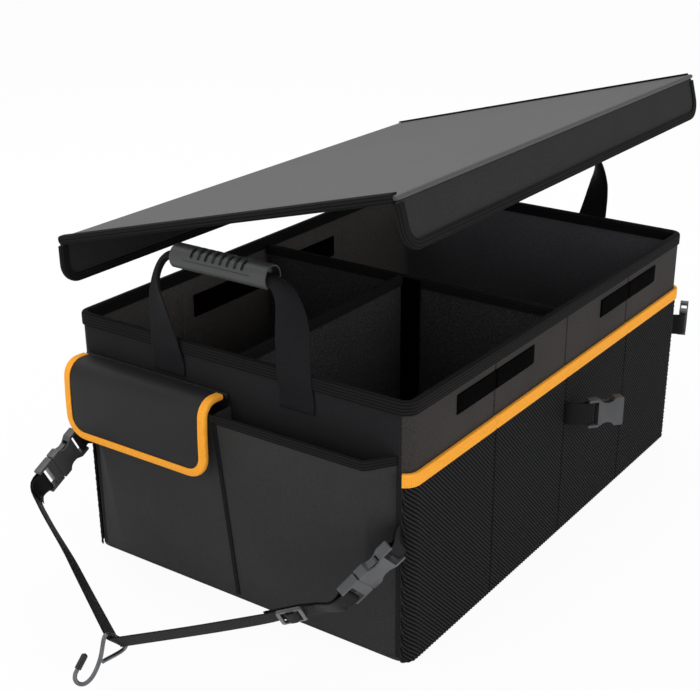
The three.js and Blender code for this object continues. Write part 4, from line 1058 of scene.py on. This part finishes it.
def edge_distance(s, y, low, high, length, r):
    """The distance of flat points from the sides, the lower edge and the rounded corners."""
    side = np.minimum(y - low, high - y)
    bottom = length - s
    corner = r - np.hypot(np.maximum(r - side, 0), np.maximum(r - bottom, 0))
    return np.where((side < r) & (bottom < r), corner, np.minimum(side, bottom))


def padded_flap():
    """The flap's pad: its half thickness swells from the binding to the middle of each face."""
    size = (FLAP_LOW_Y + 1, FLAP_HIGH_Y - 1, FLAP_END - 1, FLAP_R - 1)
    s, y = hanging_grid(*size, 0.0, 4.0)
    d = edge_distance(s, y, *size)
    swell = 1 - np.exp(-np.maximum(d - 7.0, 0) / 7.0)
    half = 2.0 + 1.5 * swell
    half = half * np.clip(0.3 + np.sqrt(np.clip(d, 0, 2) / 2) * 0.7, 0, 1)
    return slab(flap_point(s, y, half), flap_point(s, y, -np.minimum(half, 2.4)), spread(y, s))


flap_pad = piece("pocket_flap_pad", padded_flap(), FLAP_CLOTH, "pocket_flap", body="flap", sharp=70)


def outline_binding(outline, inward, place, width, half, skin, out):
    """A tape folded round a hanging panel's outline, carried into space by the panel's own place."""
    def carried(section):
        flat = outline[:, None, :] + inward[:, None, :] * section[None, :, :1]
        return place(flat[..., 0], flat[..., 1], np.broadcast_to(section[None, :, 1], flat.shape[:2]))

    return taped(carried, lengths_of(outline), width, half, skin, out)


outline, inward = hanging_outline(FLAP_LOW_Y + 1.1, FLAP_HIGH_Y - 1.1, FLAP_END, FLAP_R - 1, 0.6, 2.0)
flap_trim = outline_binding(outline, inward, flap_point, 7.6, 2.2, 0.8, 1.0)
piece("pocket_flap_binding", flap_trim, ORANGE, "pocket_flap_trim", body="flap")
hem = flat_sheet(
    0, HEM_X, -1, (FLAP_LOW_Y, FLAP_HIGH_Y, 8), (HEM_LOW, HEM_TOP, 2), HEM_HALF, edge=2.4)
piece("flap_hem_cloth", hem, FLAP_CLOTH, "flap_hem")

# Lid: its own frame is tilted about the rear fold

LID_TILT = math.radians(-15.15)
FOLD_Y = 207.5
FOLD_Z = 344.8
LID_PANEL_HALF = 308.2
LID_FRONT = -413.5
SKIRT = 47.0
SKIRT_R = 20.2
SKIRT_HALF = 1.5
LID_HALF = 2.5
LID_SAG = 0.9


def on_lid(x, y, z):
    """A point of the lid's own frame in the part's."""
    cos, sin = math.cos(LID_TILT), math.sin(LID_TILT)
    return spread(x, FOLD_Y + y * cos - z * sin, FOLD_Z + y * sin + z * cos)


def lid_direction(*v):
    """A direction of the lid's own frame in the part's."""
    return on_lid(*v) - on_lid(0, 0, 0)


lid_u = stops(-LID_PANEL_HALF, LID_PANEL_HALF, 10, 1.5)
lid_v = stops(LID_FRONT, 2.2, 10, 2.5)
lid_a, lid_b = np.meshgrid(lid_u, lid_v, indexing="ij")
sag = np.sin(np.pi * (lid_a / LID_PANEL_HALF / 2 + 0.5)) * np.sin(np.pi * (lid_b - LID_FRONT) / -LID_FRONT)
lid_centre = on_lid(lid_a, lid_b, -LID_SAG * sag + 0.35 * np.sin(lid_a / 70 + 1.0) * np.sin(lid_b / 55) * sag)
lid_shape = cloth(lid_u, lid_v, lid_centre, lid_direction(0, 0, 1), LID_HALF, 2.4)
piece("lid_cloth", lid_shape, LID_CLOTH, "lid_panel", body="lid")

for end, sign in ENDS:
    path = on_lid(-sign * LID_PANEL_HALF, np.linspace(LID_FRONT + 5.5, 0, 70), 0)
    tape = binding(path, lid_direction(sign, 0, 0), lid_direction(0, 0, 1), 7.2, 2.8)
    piece(f"lid_{end}_binding", tape, BINDING, f"lid_{end}_tape", body="lid")


def skirt_pieces(side, body, place, top, first=0.0):
    """A skirt and its binding: a hanging panel whose flat points go into space by place.

    Its cloth starts at the distance first below its upper edge.
    """
    size = (-LID_PANEL_HALF, LID_PANEL_HALF, SKIRT + top - TAPE_ROOM, SKIRT_R)
    s, x = hanging_grid(*size, first, 7.0)
    half = SKIRT_HALF * (0.3 + 0.7 * np.sqrt(np.clip(edge_distance(s, x, *size), 0, 1.5) / 1.5))
    panel = slab(place(s, x, half), place(s, x, -half), spread(x, s))
    piece(f"{side}_skirt_cloth", panel, SKIRT_CLOTH, f"{side}_skirt", body=body)
    outline, inward = hanging_outline(*size, 1.8, 4.0)
    tape = outline_binding(outline, inward, place, 9 - TAPE_ROOM, 1.8, TAPE, TAPE_ROOM)
    piece(f"{side}_skirt_binding", tape, BINDING, f"{side}_skirt_tape", body=body)


def front_skirt_place(s, x, offset):
    """The front skirt hangs from the lid's front edge. Offset is outwards."""
    return on_lid(x, LID_FRONT + 3.3 - offset, -2.8 - s)


def rear_skirt_place(s, x, offset):
    """The rear skirt hangs straight down from the rear fold. Offset is outwards."""
    return spread(x, FOLD_Y - 0.8 + offset, FOLD_Z - 4.5 - s)


skirt_pieces("front", "lid", front_skirt_place, -2.8)
skirt_pieces("rear", "lid_back", rear_skirt_place, -4.5, -2.0)
for end, (low, high) in STRIP_RUNS.items():
    u = stops(low, high, 8, 1.0)
    v = stops(-36, -16, 4, 1.0)
    centre = on_lid(u[:, None], LID_FRONT + 5.7, v)
    strip = cloth(u, v, centre, lid_direction(0, 1, 0), PILE_HALF)
    piece(f"front_skirt_{end}_pile", strip, PILE, f"front_skirt_{end}_strip", body="lid")

# Buckles, tabs and the hook strap

BAR_AT = 2.6
LOOP_R = 2.95
LOOP_END = LOOP_R * 0.8
PLY = 0.95
MALE_BAR = 58.4
FOOT_OUT = 3.5
BELT_Z = 147.0


def corner_point(sign_x, sign_y, z, out):
    """A point beside a rounded corner, at a distance outside the wall's face."""
    r = CORNER_R + out
    return np.array([sign_x * (288 + r * 0.96), sign_y * (188 + r * 0.28), z])


class Buckle:
    """A buckle's own frame: origin, direction to the mating end, width direction and face direction."""

    def __init__(self, origin, along, across):
        self.origin = np.array(origin, float)
        self.x = unit(np.array(along, float))
        self.y = squared(np.array(across, float), self.x)
        self.z = np.cross(self.x, self.y)

    def at(self, x, z=0.0):
        x, z = np.broadcast_arrays(x, z)
        return self.origin + x[..., None] * self.x + z[..., None] * self.z


HALF_ROOT = math.sqrt(0.5)
STRAP_ACROSS = np.array([HALF_ROOT, 0, -HALF_ROOT])
BUCKLES = {
    "front_belt": Buckle((12, -224, BELT_Z), (0.765, -0.645, 0), (0, 0, -1)),
    "front_left": Buckle((-317.6, -197.9, 134), (-35.8, 27.2, -40), STRAP_ACROSS),
    "rear_left": Buckle((-316, 198, 134), (-0.885, 0, -0.466), (0, 0, -1)),
    "front_right": Buckle((318, -205, BELT_Z), (0.94, 0.34, 0), (0, 0, -1)),
    "rear_right": Buckle((318, 205, BELT_Z), (0.94, -0.34, 0), (0, 0, -1)),
}
# The corner tabs: the signs of x and y, the height, and how far out the seam's end is
CORNERS = {
    "front_left": (-1, -1, 139.8, 6.0),
    "rear_left": (-1, 1, 137.3, 6.0),
    "front_right": (1, -1, BELT_Z, 5.5),
    "rear_right": (1, 1, BELT_Z, 5.5),
}
# Where each tab leaves the wall and where its seam ends
FEET = {name: [corner_point(*at, out) for out in (FOOT_OUT, end)] for name, (*at, end) in CORNERS.items()}
FEET["front_belt"] = [np.array([0, -203.5, BELT_Z]), np.array([0, -205.5, BELT_Z])]


def looped(buckle, bar, start, end):
    """Points and width directions of webbing round a buckle's bar."""
    angle = np.radians(np.linspace(start, end, 11))
    points = buckle.at(bar + LOOP_R * np.cos(angle), LOOP_R * np.sin(angle))
    return points, np.broadcast_to(buckle.y, points.shape)


def tab_shape(name):
    """Webbing doubled round a bar: each ply leaves the cloth straight and bends into the buckle's axis.

    The middle line is a cubic Bezier curve. The plies spread from their sewn distance to the bar's
    diameter by the cube of the share.
    """
    buckle = BUCKLES[name]
    foot, seam = FEET[name]
    start = buckle.at(BAR_AT - LOOP_R - 1.5)
    rise = np.array([0, 0, -1.0])
    reach = np.linalg.norm(start - seam) / 3
    foot_along = unit(seam - foot)
    ends = np.array([seam, seam + foot_along * reach, start - buckle.x * reach, start])
    t = np.linspace(0, 1, 13)[:, None]
    line = (1 - t) ** 3 * ends[0] + 3 * (1 - t) ** 2 * t * ends[1]
    line = line + 3 * (1 - t) * t * t * ends[2] + t ** 3 * ends[3]
    tangent = unit(np.gradient(line, axis=0))
    turn = np.minimum(1, t * 1.25)
    across = unit(rise * (1 - turn) + buckle.y * turn)
    up = unit(np.cross(tangent, across))
    opening = PLY + (LOOP_END - PLY) * t ** 3
    foot_up = unit(np.cross(foot_along, rise))
    over, over_across = looped(buckle, BAR_AT, 110, -110)
    first = np.concatenate([[foot + foot_up * PLY], line + up * opening])
    second = np.concatenate([[foot - foot_up * PLY], line - up * opening])[::-1]
    side = np.concatenate([[rise], across])
    return strap(np.concatenate([first, over, second]), np.concatenate([side, over_across, side[::-1]]))


for name in BUCKLES:
    piece(f"{name}_tab_webbing", tab_shape(name), WEBBING, f"{name}_tab")
    softened(f"{name}_female_buckle")
for name in ("front_left", "rear_left"):
    softened(f"{name}_male_buckle", 0.35)
softened("strap_adjuster", 0.6)

RING = np.array([-473.0, 1.0, 50.0])
ADJUSTER = np.array([-372.0, -121.0, 67.5])
HOOK_DOWN = np.array([-HALF_ROOT, 0, -HALF_ROOT])
RING_OFFSET = 3.3
RING_LEAVE = 38.0
LIFT = 2.3
BAR_R = 1.5
WIRE_R = 2.0
TIP_R = 3.1
RUN_POINTS = 400


def ring_point(degrees):
    """Points of the strap's turn round the hook's bar."""
    angle = np.radians(np.atleast_1d(degrees).astype(float))[:, None]
    return RING + RING_OFFSET * (np.cos(angle) * HOOK_DOWN + np.sin(angle) * np.array([0, 1.0, 0]))


def hook_strap_shape():
    """The hook strap: doubled round the near bar, over the adjuster's bar, round the hook's bar and back.

    Each run is a smooth middle line, and a ply's offset from it is eased between its stops.
    """
    near_buckle, far_buckle = BUCKLES["front_left"], BUCKLES["rear_left"]
    near_bar, near_out = near_buckle.at(MALE_BAR), near_buckle.at(MALE_BAR + 13)
    far_bar, far_out = far_buckle.at(MALE_BAR), far_buckle.at(MALE_BAR + 13)
    leave, back = ring_point(-RING_LEAVE)[0], ring_point(RING_LEAVE)[0]
    adjuster_line = unit(leave - near_bar)
    near_run = smooth_line([
        near_bar, near_out, *[ADJUSTER + adjuster_line * d for d in (-26, -14, 0, 14, 26)],
        (ADJUSTER + leave) / 2 + (0, 0, -1.5), leave,
    ], RUN_POINTS)
    far_run = smooth_line([back, (back + far_out) / 2 + (0, 0, -3), far_out, far_bar], RUN_POINTS)
    near_length, far_length = lengths_of(near_run)[-1], lengths_of(far_run)[-1]
    nearest = np.argmin(np.linalg.norm(near_run - ADJUSTER, axis=1))
    d0 = nearest / (RUN_POINTS - 1) * near_length
    over_bar = LIFT + BAR_R + 0.6 + WEB_HALF
    under_end = LIFT - BAR_R - 0.5 - WEB_HALF
    tail = under_end - 1.9

    def ply(line, start_across, end_across, distances, at, offsets):
        share = distances / lengths_of(line)[-1]
        row = share * (RUN_POINTS - 1)
        slope = unit(np.gradient(line, axis=0))
        points, along = (between(row, np.arange(RUN_POINTS), rows) for rows in (line, slope))
        along = unit(along)
        across = squared(start_across * (1 - share[:, None]) + end_across * share[:, None], along)
        return points + np.cross(along, across) * np.interp(distances, at, offsets)[:, None], across

    def near_ply(distances, at, offsets):
        return ply(near_run, near_buckle.y, STRAP_ACROSS, distances, at, offsets)

    def far_ply(distances, sign):
        at = [far_length - 40, far_length - 24, far_length - 12, far_length - 4]
        offsets = sign * np.array([0, PLY, PLY, LOOP_END])
        return ply(far_run, STRAP_ACROSS, far_buckle.y, distances, at, offsets)

    tail_at = [4, 12, d0 - 17, d0 - 12.5, d0 + 24]
    tail_part = near_ply(np.linspace(d0 + 24, 4, 34), tail_at, [-LOOP_END, -PLY, -PLY, tail, tail])
    main_at = [4, 12, *[d0 + d for d in (-17, -12.5, -8, -2.6, 2.6, 8, 12.5, 20)]]
    main_runs = np.unique(np.concatenate([np.linspace(4, near_length - 2, 70), main_at]))
    main_part = near_ply(main_runs, main_at, [
        LOOP_END, PLY, PLY, under_end, under_end, over_bar, over_bar, under_end, under_end, 0,
    ])
    ring_turn = ring_point(np.linspace(-30, 30, 7))
    far_end = far_length - np.array([32, 24, 18, 13, 8, 4])
    far_runs = np.concatenate([np.linspace(2, far_length - 40, 40), far_end])
    parts = [
        tail_part, looped(near_buckle, MALE_BAR, -80, -280), main_part,
        (ring_turn, np.broadcast_to(STRAP_ACROSS, ring_turn.shape)), far_ply(far_runs, 1),
        looped(far_buckle, MALE_BAR, -80, -280), far_ply(far_length - np.array([4, 8, 13, 18, 24]), -1),
    ]
    points, across = (np.concatenate(rows) for rows in zip(*parts))
    return strap(points, across)


piece("hook_strap_webbing", hook_strap_shape(), WEBBING, "hook_strap")

# Wire hook: points along the bar, down the shank and towards the far side, in the ring's own frame
HOOK_PATH = np.array([
    (-4, 23, 0), (16, 6, 0), (17, 2, 0), (15, 0, 0), (-15, 0, 0), (-17, 2, 0), (-9, 21, 0), (-6.4, 34, 0.6),
    (-6.6, 42, 2), (-8, 47.2, 5), (-10.8, 48.6, 8.6), (-13.6, 46.5, 11.6), (-15, 42, 13), (-15, 38.5, 13),
    (-15, 25.5, 12.6),
])


def hook_point(path):
    """Points of the hook's frame in the part's: along the bar, across it and away from the strap."""
    x = STRAP_ACROSS
    y = np.array([0, 1.0, 0])
    z = np.cross(x, y)
    return RING + path[:, :1] * x + path[:, 2:] * y - path[:, 1:2] * z


wire_line = smooth_line(hook_point(HOOK_PATH), 220)
piece("wire_hook_wire", tube(wire_line, WIRE_R), WIRE, "wire_hook", body="hook", sharp=60)
tip = hook_point(np.array([(-15, 25.5 + q, 12.6 + q * 0.03) for q in np.linspace(-3, 12, 16)]))
tip_round = TIP_R * np.sqrt(np.clip(1 - (1 - np.clip(np.linspace(0, 15, 16) / 2.4, 0, 1)) ** 2, 0.02, 1))
piece("hook_tip_dip", tube(tip, tip_round), DIP, "hook_sleeve", body="hook", sharp=60)

# Stage

LOOK_AT = (0, 0, 0.2)
FLOOR_HALF = 20
FLOOR_Z = -0.0006
PAPER_GLOW = 0.94
WORLD_LIGHT = 0.62


def lamp(name, place, size, watts):
    """A square area light that faces the part."""
    light = bpy.data.lights.new(name, "AREA")
    light.energy = watts
    light.size = size
    new = bpy.data.objects.new(name, light)
    new.location = place
    new.rotation_euler = (Vector(LOOK_AT) - Vector(place)).to_track_quat("-Z", "Y").to_euler()
    bpy.context.scene.collection.objects.link(new)


def seen(tree, other_ray):
    """One for the camera's rays and for one other kind of ray."""
    rays = put(tree, "ShaderNodeLightPath")
    return maths(tree, "MAXIMUM", rays.outputs["Is Camera Ray"], rays.outputs[other_ray])


lamp("overhead_softbox", (0.2, 0.9, 2.4), 2.4, 30)
lamp("front_softbox", (-0.3, -2.6, 1.3), 1.8, 17)
lamp("left_softbox", (-2.6, 0.5, 1.2), 1.6, 12)

FLOOR = fresh("white_paper_sweep")
floor_tree = FLOOR.node_tree
strong = maths(floor_tree, "MULTIPLY", seen(floor_tree, "Is Glossy Ray"), PAPER_GLOW)
paper = put(floor_tree, "ShaderNodeBsdfDiffuse", {"Color": linear("f4f4f4")})
glow = put(floor_tree, "ShaderNodeEmission", {"Color": (1, 1, 1, 1), "Strength": 1.0})
mixed = put(floor_tree, "ShaderNodeMixShader", {0: strong, 1: paper.outputs[0], 2: glow.outputs[0]})
put(floor_tree, "ShaderNodeOutputMaterial", {"Surface": mixed.outputs[0]})
floor_mesh = bpy.data.meshes.new("floor")
floor_corners = [(FLOOR_HALF * x, FLOOR_HALF * y, FLOOR_Z) for x, y in ((-1, -1), (1, -1), (1, 1), (-1, 1))]
floor_mesh.from_pydata(floor_corners, [], [(0, 1, 2, 3)])
floor_mesh.materials.append(FLOOR)
floor = bpy.data.objects.new("floor", floor_mesh)
bpy.context.scene.collection.objects.link(floor)

world = bpy.data.worlds.new("studio")
world.use_nodes = True
bpy.context.scene.world = world
world_tree = world.node_tree
world_tree.nodes.clear()
strength = ranged(world_tree, seen(world_tree, "Is Transmission Ray"), 0.0, 1.0, WORLD_LIGHT)
sky = put(world_tree, "ShaderNodeBackground", {"Color": (1, 1, 1, 1), "Strength": strength})
put(world_tree, "ShaderNodeOutputWorld", {"Surface": sky.outputs[0]})

# Camera: its axes are rows of the rotation that was fitted to the photograph's frame of 700 x 691
CAMERA_RIGHT = (0.557299, -0.830302, 0.004009)
CAMERA_DOWN = (-0.334293, -0.228791, -0.914277)
CAMERA_FORWARD = (0.760044, 0.508186, -0.405069)
CAMERA_PLACE = (-1.178787, -0.763423, 0.751547)
FOCAL_PX = 1337.863
CENTRE_PX = (386.642, 383.762)
FRAME_PX = (700, 691)
SENSOR_MM = 36
camera_data = bpy.data.cameras.new("camera")
camera_data.sensor_width = SENSOR_MM
camera_data.lens = FOCAL_PX * SENSOR_MM / FRAME_PX[0]
camera_data.shift_x = -(CENTRE_PX[0] - FRAME_PX[0] / 2) / FRAME_PX[0]
camera_data.shift_y = (CENTRE_PX[1] - FRAME_PX[1] / 2) / FRAME_PX[0]
camera_data.clip_start = 0.01
camera = bpy.data.objects.new("camera", camera_data)
axes = Matrix((CAMERA_RIGHT, [-c for c in CAMERA_DOWN], [-c for c in CAMERA_FORWARD])).transposed()
camera.matrix_world = Matrix.Translation(CAMERA_PLACE) @ axes.to_4x4()
bpy.context.scene.collection.objects.link(camera)
bpy.context.scene.camera = camera
bpy.context.scene.view_settings.view_transform = "Standard"
